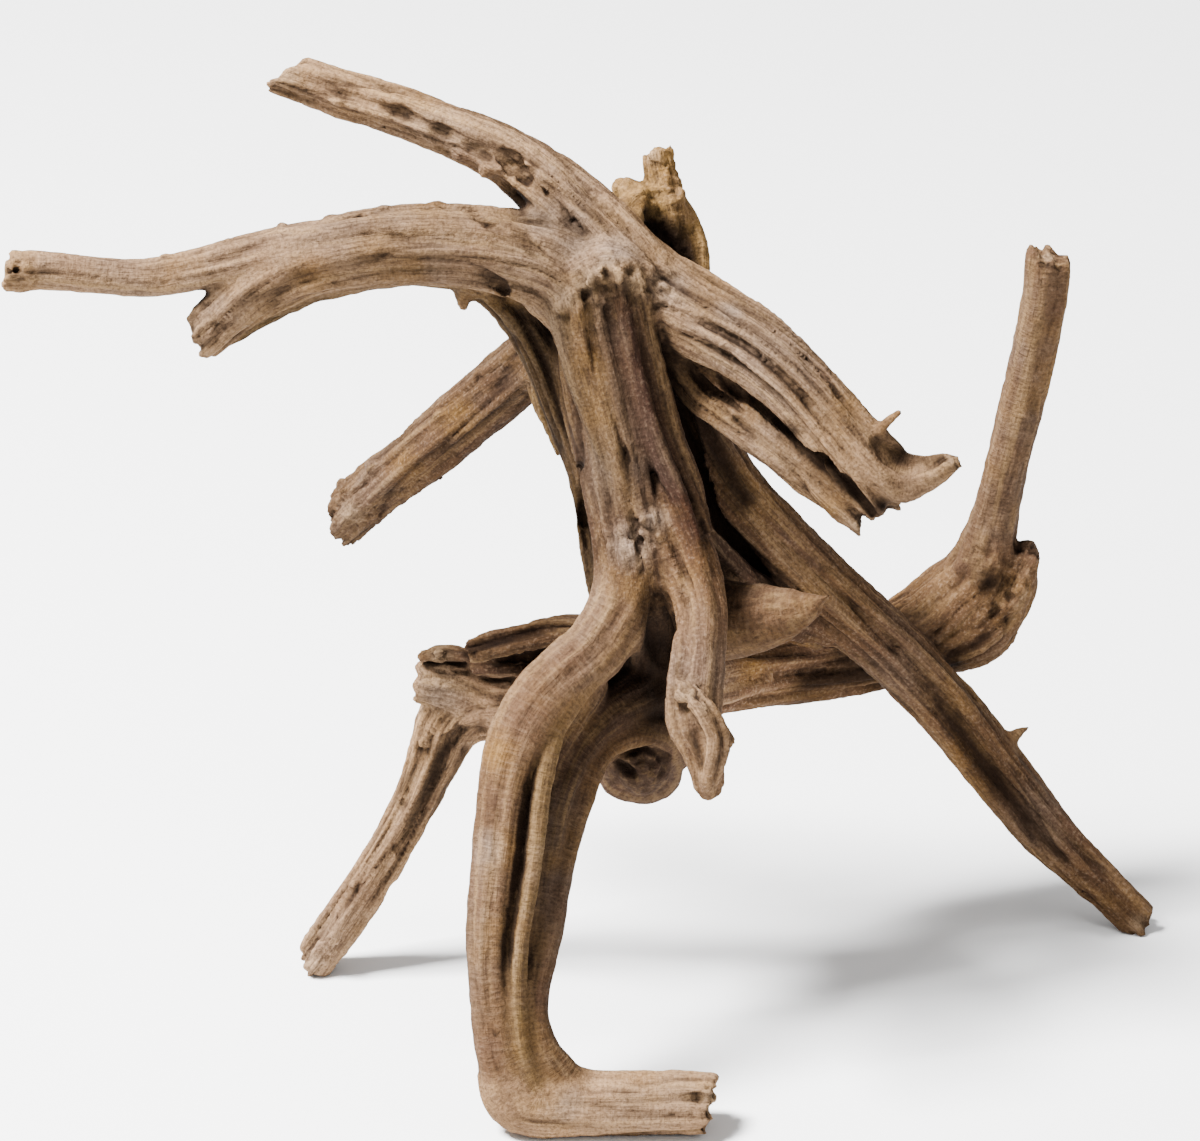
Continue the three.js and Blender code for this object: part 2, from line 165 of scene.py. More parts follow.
# %% [markdown]
# ## The limbs
#
# Each limb is a line of points with a half-width at each: across, down, back and half-width, all in mm
# on the sheet. It has a number of flutes, which are the ridges round it, a groove, which is the depth of
# the valleys between them as a share of the half-width, a twist in degrees along the limb, and a melt,
# which is how softly it joins its neighbours. A broken end has a slant: how far it leans along the
# limb, and towards which side. The tone, the shade and the carving say how it is painted, how light
# it is, and how strongly the water has left relief on it. On undersides and on webs deep between
# limbs, a dark tone or a low shade is painted shade. What a limb doesn't say is as usual.

# %% The usual values of a limb
USUAL = dict(flutes=3, groove=0.05, twist=0, start_slant=None, end_slant=None, melt=1.0, tone="brown",
             shade=1.0, carving=1.0)
print("a limb is usually", USUAL)

# %% The limbs of the crown
CROWN = {
    "upperLeft": dict(
        flutes=6, groove=0.2, twist=30, start_slant=(-3, 90), melt=3.0, tone="tan", shade=1.12, carving=0.8,
        points=[
            (57, 14.8, 14, 4.4), (66, 17.8, 13, 4.4), (80, 22, 11, 4.7), (90, 25.6, 9, 5.1),
            (100, 30, 7, 5.6), (109, 36.4, 5, 6.5), (117, 44, 3, 7.4), (124, 52, 1, 8), (130, 60, 0, 8),
            (136, 68, -1, 5)]),
    "upperRight": dict(flutes=7, groove=0.2, twist=15, end_slant=(-4, 0), melt=3.0, tone="tan", points=[
        (111, 43, 3, 4), (122, 52, 1, 7), (131, 58, -1, 7.6), (140.6, 63.4, -4, 7.6),
        (150.6, 69.2, -8, 7.2), (159.6, 76.6, -12, 6.9), (166.8, 84.6, -15, 6.7),
        (172.4, 91.4, -16.6, 6.6), (178.6, 99.4, -18, 5.6)]),
    "horn": dict(groove=0.12, end_slant=(1.5, 90), melt=2.0, tone="tan", shade=0.8, carving=0.4, points=[
        (167, 84, -14, 5.4), (174, 91.6, -16.6, 6.2), (180, 95.4, -18, 5.4), (185.6, 94.6, -19.4, 3.7),
        (190.6, 91.8, -21, 2.5)]),
    "spike": dict(melt=1.5, carving=0.2, points=[
        (173, 88.4, -17, 2.4), (176, 85.8, -18, 1.4), (179.8, 82.6, -20, 0.8)]),
    "splinterLong": dict(
        flutes=4, groove=0.15, end_slant=(1.5, 90), melt=1.2, tone="tan", shade=0.85, points=[
            (131, 64, 2, 5), (138, 77, -2, 3.2), (144, 82.2, -6, 3.2), (152, 87.4, -10, 3.7),
            (160, 94, -13, 3.4), (167, 100.8, -15, 2.6), (172.4, 106, -17, 1.6)]),
    "splinterInner": dict(flutes=4, groove=0.14, points=[
        (142, 72, -2, 4), (150, 78.8, -7, 3.4), (159, 87.6, -11, 2.8), (167, 96, -14, 2.6),
        (174.6, 102.2, -17, 2)]),
    "left": dict(
        flutes=7, groove=0.17, twist=20, end_slant=(-1.5, 90), melt=3.0, tone="tan", shade=0.84,
        carving=0.75, points=[
            (124, 76, 0, 7), (119.6, 63, 1, 8.8), (111, 54, -1.6, 9.2), (100, 50.4, -4, 8.5),
            (90, 49.2, -6, 8), (80, 49.2, -8, 7.7), (70, 50.4, -10, 7.5), (60, 53, -12, 7),
            (51, 57.6, -13, 6.2), (45, 62.6, -14, 5.4), (39.8, 67.4, -14, 4.8)]),
    "leftTip": dict(
        flutes=5, groove=0.12, twist=20, end_slant=(-0.8, 90), melt=1.6, tone="tan", carving=0.6,
        points=[
            (74, 50.6, -10, 4), (62, 50.2, -12, 5.8), (52, 51, -12, 5.2), (40, 53.6, -13, 4.5),
            (30, 55.4, -14, 4), (20, 54.8, -15, 3.8), (10, 53.8, -16, 4), (1.4, 53.8, -17, 4.3)]),
    # The underside of the left limb: its low shade is painted shade.
    "leftUnderlip": dict(groove=0.08, melt=1.2, tone="olive", shade=0.5, points=[
        (44, 66.2, -10, 3.2), (52, 61.6, -9.6, 3.6), (64, 56.8, -8, 4), (80, 54.2, -4.4, 3.4),
        (92, 55.4, -1, 3.4), (100.6, 60, 1, 4), (107.6, 70, 2, 4.2), (112.8, 83, 1, 4.3),
        (117, 96.6, -2, 3.6), (118.4, 108, -5, 2.8), (119.4, 119, -8, 2)]),
    "leftTooth": dict(carving=0.3, points=[
        (94, 56.4, -1, 2.8), (92.6, 59.4, -1, 2.1), (92.8, 61, -1.4, 1.4)]),
    "backLeft": dict(flutes=6, groove=0.17, twist=25, end_slant=(-2.6, 90), melt=2.5, shade=0.78, points=[
        (127, 57, 2, 7), (120, 62, 6, 8), (113, 68, 12, 7), (105.2, 73.8, 18, 6.2), (93.6, 83.2, 27, 6.2),
        (90.6, 85.6, 29.4, 6.5), (82, 92.4, 36, 5.9), (73.2, 99.8, 43, 5.7), (68.8, 103.8, 46, 5.3)]),
    "backSplinter": dict(groove=0.15, tone="olive", points=[
        (110, 66, 10, 3), (107.6, 74, 11, 2.4), (109.2, 83, 10.4, 2.1), (111.4, 90.8, 9.6, 0.9)]),
    "topArch": dict(flutes=4, groove=0.1, melt=2.0, tone="honey", shade=1.2, carving=0.5, points=[
        (139, 61, 8, 3.4), (139.8, 54, 13, 2.4), (138.8, 47.6, 17, 2.9), (135.4, 43, 18.6, 3.3),
        (131, 40.6, 17.6, 3.5), (127, 41, 14, 3), (124.6, 45, 6, 4)]),
    "topWall": dict(melt=2.0, tone="dark", points=[
        (132, 60, 5, 6), (132.8, 52.6, 13, 6), (132.4, 46.4, 17, 4.6)]),
    "topNub": dict(
        flutes=5, groove=0.12, end_slant=(0.6, 40), melt=2.0, tone="honey", shade=1.2, carving=0.7,
        points=[
            (133.6, 43, 17, 4.4), (132.8, 38, 18, 3.6), (132, 33.6, 19.4, 3.2), (131.2, 30, 20.4, 3.1)]),
    "topBud": dict(melt=1.5, tone="honey", carving=0.6, points=[
        (129.6, 41.6, 16, 3.4), (126.6, 39.4, 16.4, 3.1), (125, 37.6, 16.6, 2.5)]),
}
print(len(CROWN), "limbs of the crown")

# %% The trunk and the front root
TRUNK = {
    "trunk": dict(flutes=8, groove=0.12, twist=10, melt=3.0, shade=0.6, carving=0.9, points=[
        (121, 55, 2, 8.6), (120.8, 66, 1, 9.6), (122, 78, -2, 9.9), (124.2, 89, -6, 9.8),
        (126.6, 100, -10, 9.8), (128.6, 110, -13, 10), (130, 120, -14, 9.2), (131, 130, -8, 8.6)]),
    "crest": dict(melt=2.0, tone="tan", carving=0.7, points=[
        (110.6, 58.4, -4.6, 3), (114.4, 55, -6, 3.6), (118.6, 52.6, -6.6, 4), (123, 52.4, -6.6, 4),
        (127.6, 54.8, -5.6, 3.4)]),
    "trunkRidgeOne": dict(melt=1.2, tone="olive", shade=0.5, carving=0.8, points=[
        (109.6, 57, -6, 1.4), (111.6, 61.4, -8, 2), (114, 70, -9.4, 2.2), (117, 80, -12, 2.2),
        (120.4, 90, -15, 1.6), (124, 102, -16.6, 0.7)]),
    "trunkRidgeTwo": dict(melt=1.2, tone="ochre", shade=0.64, carving=0.7, points=[
        (113.4, 54, -7.2, 1.5), (115.2, 58.6, -9.6, 2.1), (117.4, 70, -10.8, 2.3), (120.4, 82, -13.4, 2.3),
        (124, 94, -17, 1.5), (127, 105, -18, 0.6)]),
    "trunkRidgeThree": dict(melt=1.2, shade=0.45, carving=0.8, points=[
        (117.6, 51.6, -7.4, 1.5), (119.4, 56.4, -10.2, 2.1), (121.4, 67, -11, 2.2),
        (124.4, 79, -13.2, 2.3), (127.6, 91, -16.2, 1.7), (130.6, 104, -18, 0.6)]),
    "trunkRidgeFour": dict(melt=1.2, tone="red", shade=0.45, carving=0.8, points=[
        (121.6, 51, -7.2, 1.5), (123.6, 56, -10, 2.1), (125.4, 66, -10.6, 2.3), (128, 78, -12.4, 2.4),
        (131.2, 89, -15.4, 2.3), (135.4, 99, -18.4, 2), (139, 108, -21, 1.8), (141.4, 118, -25, 0.9)]),
    "trunkRidgeFive": dict(melt=1.2, shade=0.45, carving=0.8, points=[
        (126, 52.6, -6.8, 1.4), (127.6, 57.6, -9.4, 2), (129.4, 66, -9.2, 2.1), (131.6, 76, -9.8, 2.2),
        (134.4, 87, -12, 2.2), (138.4, 97, -14.6, 2), (142, 106, -17.4, 1)]),
    # A web that fills the deep gap beside the trunk; its dark tone and low shade are painted shade.
    "trunkWeb": dict(melt=2.0, tone="dark", shade=0.4, carving=0.9, points=[
        (129, 66, 8, 6), (133.6, 82, 12, 6.4), (138, 96, 15, 6.4), (145, 108, 18, 6.2),
        (153, 116, 20, 4.4)]),
    "frontFat": dict(flutes=6, groove=0.08, melt=2.5, carving=0.35, points=[
        (127, 94, -8, 6), (128, 108, -13, 7), (124.8, 120, -18, 6.6), (119.6, 129, -22, 6.3),
        (113, 135, -26, 6.4), (107.2, 141.4, -30, 6.3), (103, 149.6, -34, 5.8), (100.6, 158.6, -38, 5.1),
        (99.2, 170.2, -43, 4.8), (98, 182.4, -48, 4.5), (97.6, 191.6, -51.4, 4.3), (98.4, 201, -54, 4.4),
        (100, 211, -56, 4.8), (103.4, 219, -56, 6.2)]),
    "frontWeb": dict(tone="dark", shade=0.7, carving=0.4, points=[
        (116, 137, -22, 5.6), (108.6, 150, -30, 4.8), (105.8, 160, -35.2, 4.3), (104.6, 170, -40, 4.2),
        (103.8, 182, -45, 4), (103, 192, -48.4, 3.9), (102.6, 202, -51.4, 4.1), (104.6, 212, -53.6, 4.8)]),
    "frontThin": dict(melt=0.9, tone="olive", shade=0.9, carving=0.3, points=[
        (118, 136, -27, 2), (111.4, 145.6, -33, 2.2), (108.6, 157, -39, 2.1), (107, 170.2, -44.4, 2),
        (105.4, 180, -48.4, 2), (104, 188.6, -51.8, 2), (103.4, 198, -55, 2.1), (104.2, 209, -57.6, 2.2),
        (107, 217.6, -58, 2.4)]),
    "frontInner": dict(melt=0.9, tone="dark", shade=0.5, carving=0.4, points=[
        (131, 136, -10, 7), (121, 142.4, -20, 5.6), (114.6, 150, -27, 4.3), (110.8, 160, -34, 3.6),
        (109, 170, -39, 3.2), (107.6, 181, -44.4, 3), (106, 192, -48.6, 2.8), (105.6, 203, -52, 3)]),
    "frontOuter": dict(flutes=4, groove=0.08, melt=0.9, shade=0.66, carving=0.35, points=[
        (135.4, 151.6, -11, 2.8), (133.4, 147.4, -15, 3.4), (127.8, 146, -18.4, 3.7),
        (122, 148, -21.8, 3.8), (117.8, 153, -25.8, 3.7), (115.2, 160, -30, 3.6),
        (112.4, 168.4, -35.4, 3.6), (110.8, 177, -40.8, 3.4), (109.4, 186, -46, 3.3),
        (107.4, 195, -50.4, 3.2), (106.6, 202, -53, 3.3), (108, 210, -54.6, 4.2),
        (112.6, 217.2, -55, 5.2)]),
    "foot": dict(
        flutes=6, groove=0.08, end_slant=(-1, 90), melt=2.5, tone="tan", shade=1.25, carving=0.6,
        points=[
            (101.6, 217.6, -56.4, 5.6), (106.4, 220.8, -56.4, 6.4), (116, 221, -56.4, 6.5),
            (128, 221, -56.4, 6.4), (137, 220.8, -56.4, 6.3), (142.2, 221, -56.4, 6.2)]),
    "frontStub": dict(flutes=5, groove=0.15, twist=40, melt=1.8, carving=0.6, points=[
        (129, 90, -8, 6), (133, 103, -13, 6.8), (137.2, 113, -18, 6.4), (140, 121, -24, 5.4),
        (140.2, 130, -30, 5.1), (139.2, 138, -35, 5.3), (139, 145, -39, 5.3), (140.8, 150.4, -42, 4.2),
        (141.6, 156.4, -44, 3.4)]),
    "frontStubLobe": dict(melt=1.2, points=[
        (136.6, 128, -31, 2), (135.8, 136.6, -36.4, 2.5), (136, 144, -40.6, 2.5),
        (138.8, 150.6, -43, 1.9)]),
    "frontStubTwist": dict(melt=0.9, tone="tan", points=[
        (136.6, 136.6, -38.6, 1.6), (140.2, 141.2, -43.2, 2.2), (143.4, 146.4, -44.6, 2.4),
        (143.6, 151, -46.2, 2.4), (142.2, 156, -46.6, 2.1)]),
    # A web that fills the gaps behind the fin; its dark tone is painted shade.
    "finWeb": dict(melt=2.0, tone="dark", points=[
        (138, 108, 2, 5), (146, 115.6, 6, 5), (155, 123, 13, 4.6), (163, 126.4, 20, 3.4)]),
    "frontStubKnot": dict(groove=0.1, points=[
        (140, 144, -38, 3.8), (145.2, 148.2, -38, 2)]),
    "fin": dict(groove=0.06, end_slant=(2, -90), melt=2.5, shade=0.8, carving=0.3, points=[
        (138, 124, -9, 8.6), (146, 124, -12, 8), (153, 123.4, -15, 6.6), (159, 122.2, -18, 4.6),
        (164.8, 120.6, -20.6, 1.5)]),
}
print(len(TRUNK), "limbs of the trunk and the front root")

# %% The long limb, the cross limb and the leg
LOWER = {
    "long": dict(flutes=6, groove=0.16, twist=-25, end_slant=(1.5, 90), melt=2.5, carving=0.75, points=[
        (119, 54, 3, 6), (127, 66, 5, 7.2), (134.4, 78.4, 9, 7.6), (139.4, 88.6, 12, 7.6),
        (145.4, 98.2, 15, 7.6), (154.8, 108.4, 18, 7.4), (164.4, 117.6, 20, 7.1), (173.2, 125.6, 22, 6.8),
        (180.6, 132.4, 24, 6.6), (191, 143.2, 25.6, 6.1), (200.8, 155.6, 27, 6), (210.6, 167.4, 27.4, 5.5),
        (221, 177.8, 27.6, 4.4), (228.4, 185.2, 27.4, 3.9)]),
    "longThorn": dict(carving=0.2, points=[
        (200.6, 149, 27, 2.4), (203, 147, 30, 1.3), (205.4, 145.6, 32, 0.6)]),
    "cross": dict(flutes=7, groove=0.16, twist=30, melt=2.5, shade=1.7, points=[
        (112, 135.6, 5, 7.2), (124, 135, 5, 8.2), (136, 136, 10, 7.8), (146, 134.8, 20, 6.7),
        (156, 133.4, 28, 6.3), (166, 132, 33, 6.7), (176, 129.6, 36, 7.6), (185, 125.6, 38, 8.6),
        (192, 119.4, 39, 8)]),
    "upright": dict(
        flutes=5, groove=0.1, twist=15, end_slant=(-1.4, 90), melt=1.6, shade=0.9, carving=0.45, points=[
            (189, 122, 39, 7.8), (195.4, 114, 39, 6.6), (198.8, 104, 39, 4.9), (201.2, 94, 38, 4.5),
            (204.4, 81, 37, 4.5), (207, 69.8, 36, 4.6), (209, 60, 35, 4.7), (209.8, 51.2, 34.5, 4.7)]),
    "heel": dict(flutes=5, groove=0.14, melt=1.6, shade=0.95, points=[
        (182, 128, 37, 6.6), (190, 126.6, 38, 7.6), (197, 123.6, 38, 7.3), (202.2, 117.4, 38, 4.8),
        (205.4, 111.6, 38, 3.2)]),
    # The underside of the cross limb: its dark tone is painted shade.
    "crossUnderlip": dict(melt=1.2, tone="dark", points=[
        (140, 138.4, 15, 3.2), (150, 138.8, 22, 3), (162, 137.6, 30, 3.2), (173, 135.4, 35, 3.4),
        (184, 132, 38, 3.4)]),
    "leg": dict(
        flutes=6, groove=0.17, twist=30, end_slant=(-2.5, 90), melt=2.5, tone="tan", shade=1.25, points=[
            (124, 136, 5, 8), (112, 138.2, 5.4, 8), (103, 140, 7, 7.8), (95, 140.6, 8.4, 7.2),
            (89.8, 144.4, 9, 6.6), (87.2, 151, 9.6, 5.8), (84.6, 157, 10, 5.2), (80.8, 164.6, 10, 4.7),
            (74.6, 174.6, 9.8, 4.6), (68.4, 184, 9.6, 4.5), (62, 193, 9.4, 4.2)]),
    "shoulder": dict(
        flutes=4, groove=0.12, end_slant=(0.1, 0), melt=2.0, tone="tan", shade=1.2, carving=0.6, points=[
            (100, 139.6, 8, 6.6), (92, 136.6, 8, 6.4), (83.6, 135, 8, 5.5)]),
    "shoulderFlake": dict(groove=0.1, start_slant=(0.4, 0), melt=0.5, shade=0.6, points=[
        (84.6, 131.4, 3.4, 1), (88.6, 130.4, 3.6, 1.5), (93, 131, 3, 1.3), (97, 132.6, 2, 0.9)]),
    "barkSplinter": dict(groove=0.12, end_slant=(0.1, 0), shade=0.75, carving=1.3, points=[
        (125, 130, -2, 6), (114, 126, 0, 3.4), (103, 127.6, -1, 2.6), (93.2, 130.2, -2, 2.2)]),
    "barkWeb": dict(tone="dark", points=[
        (122, 131, 3, 5), (112, 131, 3, 3.8), (101, 131.6, 3.4, 3.6), (96, 132, 4, 3)]),
    "curl": dict(melt=0.8, tone="dark", carving=0.3, points=[
        (134, 151.6, -11, 2.6), (133.2, 156.4, -12, 2.6), (128.4, 158.2, -13, 2.6),
        (123.2, 156.8, -14, 2.4), (121.6, 153.6, -15, 1.8), (124, 151, -15.6, 1.5)]),
    "curlHeart": dict(melt=1.2, tone="dark", shade=0.7, carving=0.4, points=[
        (127, 138, 2, 7.2), (128, 146, -5, 7), (128.2, 152.6, -12.6, 6.4)]),
}
LIMBS = {name: {**USUAL, **limb} for name, limb in {**CROWN, **TRUNK, **LOWER}.items()}
print(len(LIMBS), "limbs in all")

# %% The hollows: how softly each rim is rounded, how far its middle is sunk, and its points
HOLLOWS = {
    "hubPit": (1.0, -0.1, [
        (93.6, 41.4, -7, 0.6), (97.6, 43.6, -8, 2), (102.4, 46.6, -8, 2), (108, 51, -8, 1.3),
        (116, 58, -7, 0.5)]),
    "forkHole": (0.8, 0.1, [(100.6, 31.6, 2, 1), (102.6, 33, 1.6, 1.9), (105.4, 36, 0.8, 1.2)]),
    "pitOne": (0.9, -0.1, [(77, 21.4, 7.6, 0.7), (80.4, 22.6, 7, 1.9), (84, 24.2, 6.4, 0.8)]),
    "pitTwo": (0.9, -0.1, [(85.6, 24.8, 5.6, 0.7), (88.4, 26, 5, 1.8), (91, 27.4, 4.6, 0.8)]),
    "pitThree": (0.9, -0.1, [(93, 28.6, 3.6, 0.8), (95.6, 30, 3, 1.7), (98, 31.6, 2.4, 0.7)]),
    "trunkSlit": (0.6, -0.2, [
        (115.6, 92, -5, 0.6), (116.4, 100, -6.4, 1.8), (117.4, 109, -8, 1.5), (118.6, 116, -10, 0.6)]),
    "flankHole": (0.6, 0.3, [(116.8, 99, -7, 0.6), (117.2, 104, -7.4, 1.7), (117.8, 109, -8, 0.8)]),
    "knotHole": (0.8, -0.1, [(125.6, 104, -21, 0.6), (127, 107, -21, 1.3), (128.4, 110, -21, 0.6)]),
    "stubSlit": (0.6, -0.1, [
        (134.6, 109, -22, 0.5), (136.4, 114, -24, 1.2), (137.4, 120, -27, 1), (137.8, 127, -31, 0.5)]),
    "longHollow": (1.4, 0.0, [
        (180, 133, 18, 0.5), (187, 140, 19, 1.9), (194, 149, 20, 2.6), (201, 158.8, 21, 2.8),
        (208.4, 168, 22, 1.5), (213, 172.6, 23, 0.5)]),
    "legPit": (0.6, -0.2, [
        (96.6, 144.8, 3.6, 0.6), (91.8, 147, 4, 1.5), (88.2, 151, 5, 1.9), (86, 157, 6, 1.7),
        (83, 163.6, 6.4, 1.4), (79.6, 170.6, 7, 0.5)]),
    "rightGrooveUpper": (0.8, -0.3, [
        (135, 54.6, -5.4, 0.4), (146, 61.4, -10.4, 1.2), (157, 68.4, -14.8, 1.3), (168, 80, -19, 0.4)]),
    "rightGrooveMiddle": (0.8, -0.3, [
        (134, 59, -6, 0.4), (145, 66, -10, 1.2), (155, 73, -14, 1.2), (165, 83, -18, 0.9),
        (171, 90, -20, 0.4)]),
    "rightGrooveLower": (0.8, -0.2, [
        (131, 60, -6.6, 0.4), (138, 66.6, -10, 1.3), (146, 72, -13.6, 1.3), (156, 80, -16, 0.4)]),
    "curlHole": (0.6, 0.6, [(123.8, 152.6, -16, 0.9), (125.4, 154, -17, 1.2), (127, 155, -17, 0.5)]),
    "trunkGap": (1.2, None, [
        (132.4, 67, -3, 1.2), (134.2, 76, 2, 2.4), (136.6, 86, 6, 3.2), (139.8, 94.6, 8.6, 3.3),
        (144, 102.6, 11, 3.1), (149, 110.6, 13, 2.5), (153, 115.6, 14, 1.4)]),
    "breakFace": (0.4, None, [
        (168, 98, -21.6, 3.4), (171, 100.4, -22.4, 4.4), (175.4, 103, -24, 4.6), (181, 106.6, -26, 4.6)]),
    "burlArcOne": (0.5, 0.0, [
        (125, 151, -17, 0.5), (127, 149.8, -18, 1), (130, 149.6, -18, 1.1), (132.6, 151.2, -17, 1.1),
        (133, 154.2, -16, 1), (131, 156.6, -16, 0.5)]),
    "burlArcTwo": (0.5, 0.0, [
        (127, 152.6, -18, 0.5), (128.8, 151.8, -18, 0.9), (130.6, 152.8, -18, 0.9),
        (130, 154.8, -18, 0.5)]),
    "splinterGap": (0.7, 0.5, [
        (150, 79.4, -11, 0.6), (155, 82.6, -13.6, 1.5), (160.6, 87.6, -15.6, 2), (166, 93, -17.6, 2),
        (171, 98.8, -19.4, 1.5), (175, 103, -20, 0.8)]),
    "notch": (0.6, 0.2, [(142, 75, -8, 0.7), (147, 78.4, -10, 2), (151.4, 79.6, -12, 0.8)]),
    "hornHollow": (0.8, 0.1, [
        (175.4, 88.6, -19, 1.2), (180, 92, -21, 2.5), (185, 92.4, -22, 2), (189.4, 91.2, -22, 0.9)]),
    "archHollow": (0.8, None, [
        (127, 43.4, 9, 1.6), (131, 46, 9, 3), (135, 49.4, 10, 3), (137, 53.4, 10, 2.4)]),
    "rootGap": (1.5, None, [
        (130, 116, -25, 0.8), (131.4, 122, -23, 2.2), (132.4, 130, -19, 3.4), (132.8, 137, -18, 2.6)]),
    "stubFold": (0.8, -0.3, [
        (136.6, 141, -38, 0.5), (138.4, 145.6, -40, 0.9), (139.8, 150, -42, 0.8), (140, 154.4, -43, 0.4)]),
    "stubFacet": (0.4, -0.5, [(135.6, 134.4, -36, 1.2), (137.8, 136.6, -38, 1.7)]),
    "leftGroove": (1.0, -0.3, [
        (64, 57.6, -16.4, 0.4), (74, 55, -14.4, 0.9), (86, 53.8, -12.8, 1), (98, 56, -11.2, 1),
        (107, 64, -6.4, 0.4)]),
    "legRoot": (1.0, 0.2, [
        (98, 131.6, 0, 0.6), (104, 132.2, -1.6, 1.6), (112, 131.4, -2.6, 1.8), (119, 131, -4, 0.8)]),
    "leftSplit": (0.5, 0.0, [(31, 68.4, -15, 0.8), (36, 66.6, -17, 0.8), (43, 62.6, -18, 0.4)]),
    "tipSplit": (0.5, 0.0, [(0.6, 54, -18, 0.9), (5, 54, -19, 0.7), (12, 54.4, -19, 0.3)]),
    "footSplit": (0.5, 0.0, [(143, 219.6, -62, 0.9), (137, 219.4, -62, 0.7), (129, 219.8, -62, 0.3)]),
}
print(len(HOLLOWS), "hollows")

# %% [markdown]
# ## A smooth body from distances
#
# Tubes that only cross each other leave hard seams. Real limbs melt into one another. So the body is
# a field: at every point of a fine grid it holds the distance to the nearest limb, and where two
# limbs are almost equally near, the two distances are blended. The skin is where the field is zero.

# %% A limb as a dense row of rings
RING_STEP = 1.2
RIDGE_ROUNDNESS = 0.7
RIDGE_MEAN = 0.62
THINNEST = 0.3
WIDEST = 1.2


def spline(values, at):
    """A smooth line through rows of values, read at positions along the rows."""
    ends = [2 * values[0] - values[1]], [2 * values[-1] - values[-2]]
    rows = np.concatenate([ends[0], values, ends[1]])
    before = np.clip(np.floor(at).astype(int), 0, len(values) - 2)
    t = (at - before)[:, None]
    a, b, c, d = (rows[before + i] for i in range(4))
    slope_b, slope_c = (c - a) / 2, (d - b) / 2
    return (b + slope_b * t + (3 * (c - b) - 2 * slope_b - slope_c) * t**2
            + (2 * (b - c) + slope_b + slope_c) * t**3)


def unit(vectors):
    """The same directions, one long."""
    return vectors / np.linalg.norm(vectors, axis=-1, keepdims=True)


def rings_of(limb, number=0):
    """The limb with the middles, directions and half-widths of its rings."""
    middles, spread = placed(limb["points"])
    known = np.column_stack([middles, [point[3] for point in limb["points"]] * spread])
    count = max(4, int(np.linalg.norm(np.diff(middles, axis=0), axis=1).sum() / RING_STEP))
    share = np.linspace(0, 1, count)
    dense = spline(known, share * (len(known) - 1))
    along = unit(np.gradient(dense[:, :3], axis=0))
    side = unit(np.cross(along, TO_VIEWER))
    steps = np.linalg.norm(np.diff(dense[:, :3], axis=0), axis=1)
    return dict(
        limb, number=number, middle=dense[:, :3], along=along, side=side, front=np.cross(side, along),
        width=np.maximum(dense[:, 3], THINNEST), share=share, run=np.concatenate([[0], steps.cumsum()]))


rings = {name: rings_of(limb, number) for number, (name, limb) in enumerate(LIMBS.items())}
print(sum(len(r["share"]) for r in rings.values()), "rings")

# %% Where a point lies in a limb, and how far outside it
CHUNK = 60000
WORN_EDGE = 1.2
JAG = 0.45


def within(limb, points):
    """Each point's place in the limb: side and front offsets, offset past an end, share, run and width."""
    middle, along = limb["middle"], limb["along"]
    last = len(middle) - 1
    found = []
    for start in range(0, len(points), CHUNK):
        some = points[start:start + CHUNK]
        gap = (middle**2).sum(1) - 2 * some @ middle.T
        ring = gap.argmin(1)
        ahead = ((some - middle[ring]) * along[ring]).sum(1)
        other = np.clip(ring + np.where(ahead > 0, 1, -1), 0, last)
        step = np.linalg.norm(middle[other] - middle[ring], axis=1)
        mix = np.clip(np.abs(ahead) / np.maximum(step, 1e-6), 0, 1) * (other != ring)

        def between(name):
            values = limb[name]
            weight = mix if values.ndim == 1 else mix[:, None]
            return values[ring] + (values[other] - values[ring]) * weight

        offset = some - between("middle")
        row = [(offset * between(name)).sum(1) for name in ("side", "front", "along")]
        found.append(np.stack(row + [between(name) for name in ("share", "run", "width")], 1))
    return np.concatenate(found).T


def outside(limb, points):
    """How far each point is outside the limb's skin, and less than zero inside it."""
    side, front, past, share, run, width = within(limb, points)
    turn = np.arctan2(side, front)
    angle = turn - math.radians(limb["twist"]) * share
    ridge = np.abs(np.sin(angle * limb["flutes"] / 2)) ** RIDGE_ROUNDNESS
    skin = width * (1 + limb["groove"] * (ridge - RIDGE_MEAN))
    early = share < 0.5
    reach = np.hypot(side, front)
    start, end = limb["start_slant"], limb["end_slant"]
    open_end = np.where(early, start is not None, end is not None)
    gap = np.where(open_end, reach, np.sqrt(reach**2 + past**2)) - skin
    jags = JAG * (np.sin(1.7 * side + limb["number"]) + np.sin(2.3 * front - 1.3 * side))
    for slant, here, way, last in ((start, early, -1, 0), (end, ~early, 1, limb["run"][-1])):
        if slant is not None:
            lean = slant[0] * np.cos(turn - math.radians(slant[1])) * np.minimum(reach / width, WIDEST)
            cut = way * (run + past - last - lean - jags)
            gap = np.where(here, rounded_max(gap, cut, WORN_EDGE), gap)
    return gap


def rounded_min(a, b, melt):
    """The lower of two distances, blended where they are nearly the same."""
    near = np.maximum(melt - np.abs(a - b), 0) / melt
    return np.minimum(a, b) - near**2 * melt / 4


def rounded_max(a, b, melt):
    """The higher of two distances, blended where they are nearly the same."""
    return -rounded_min(-a, -b, melt)


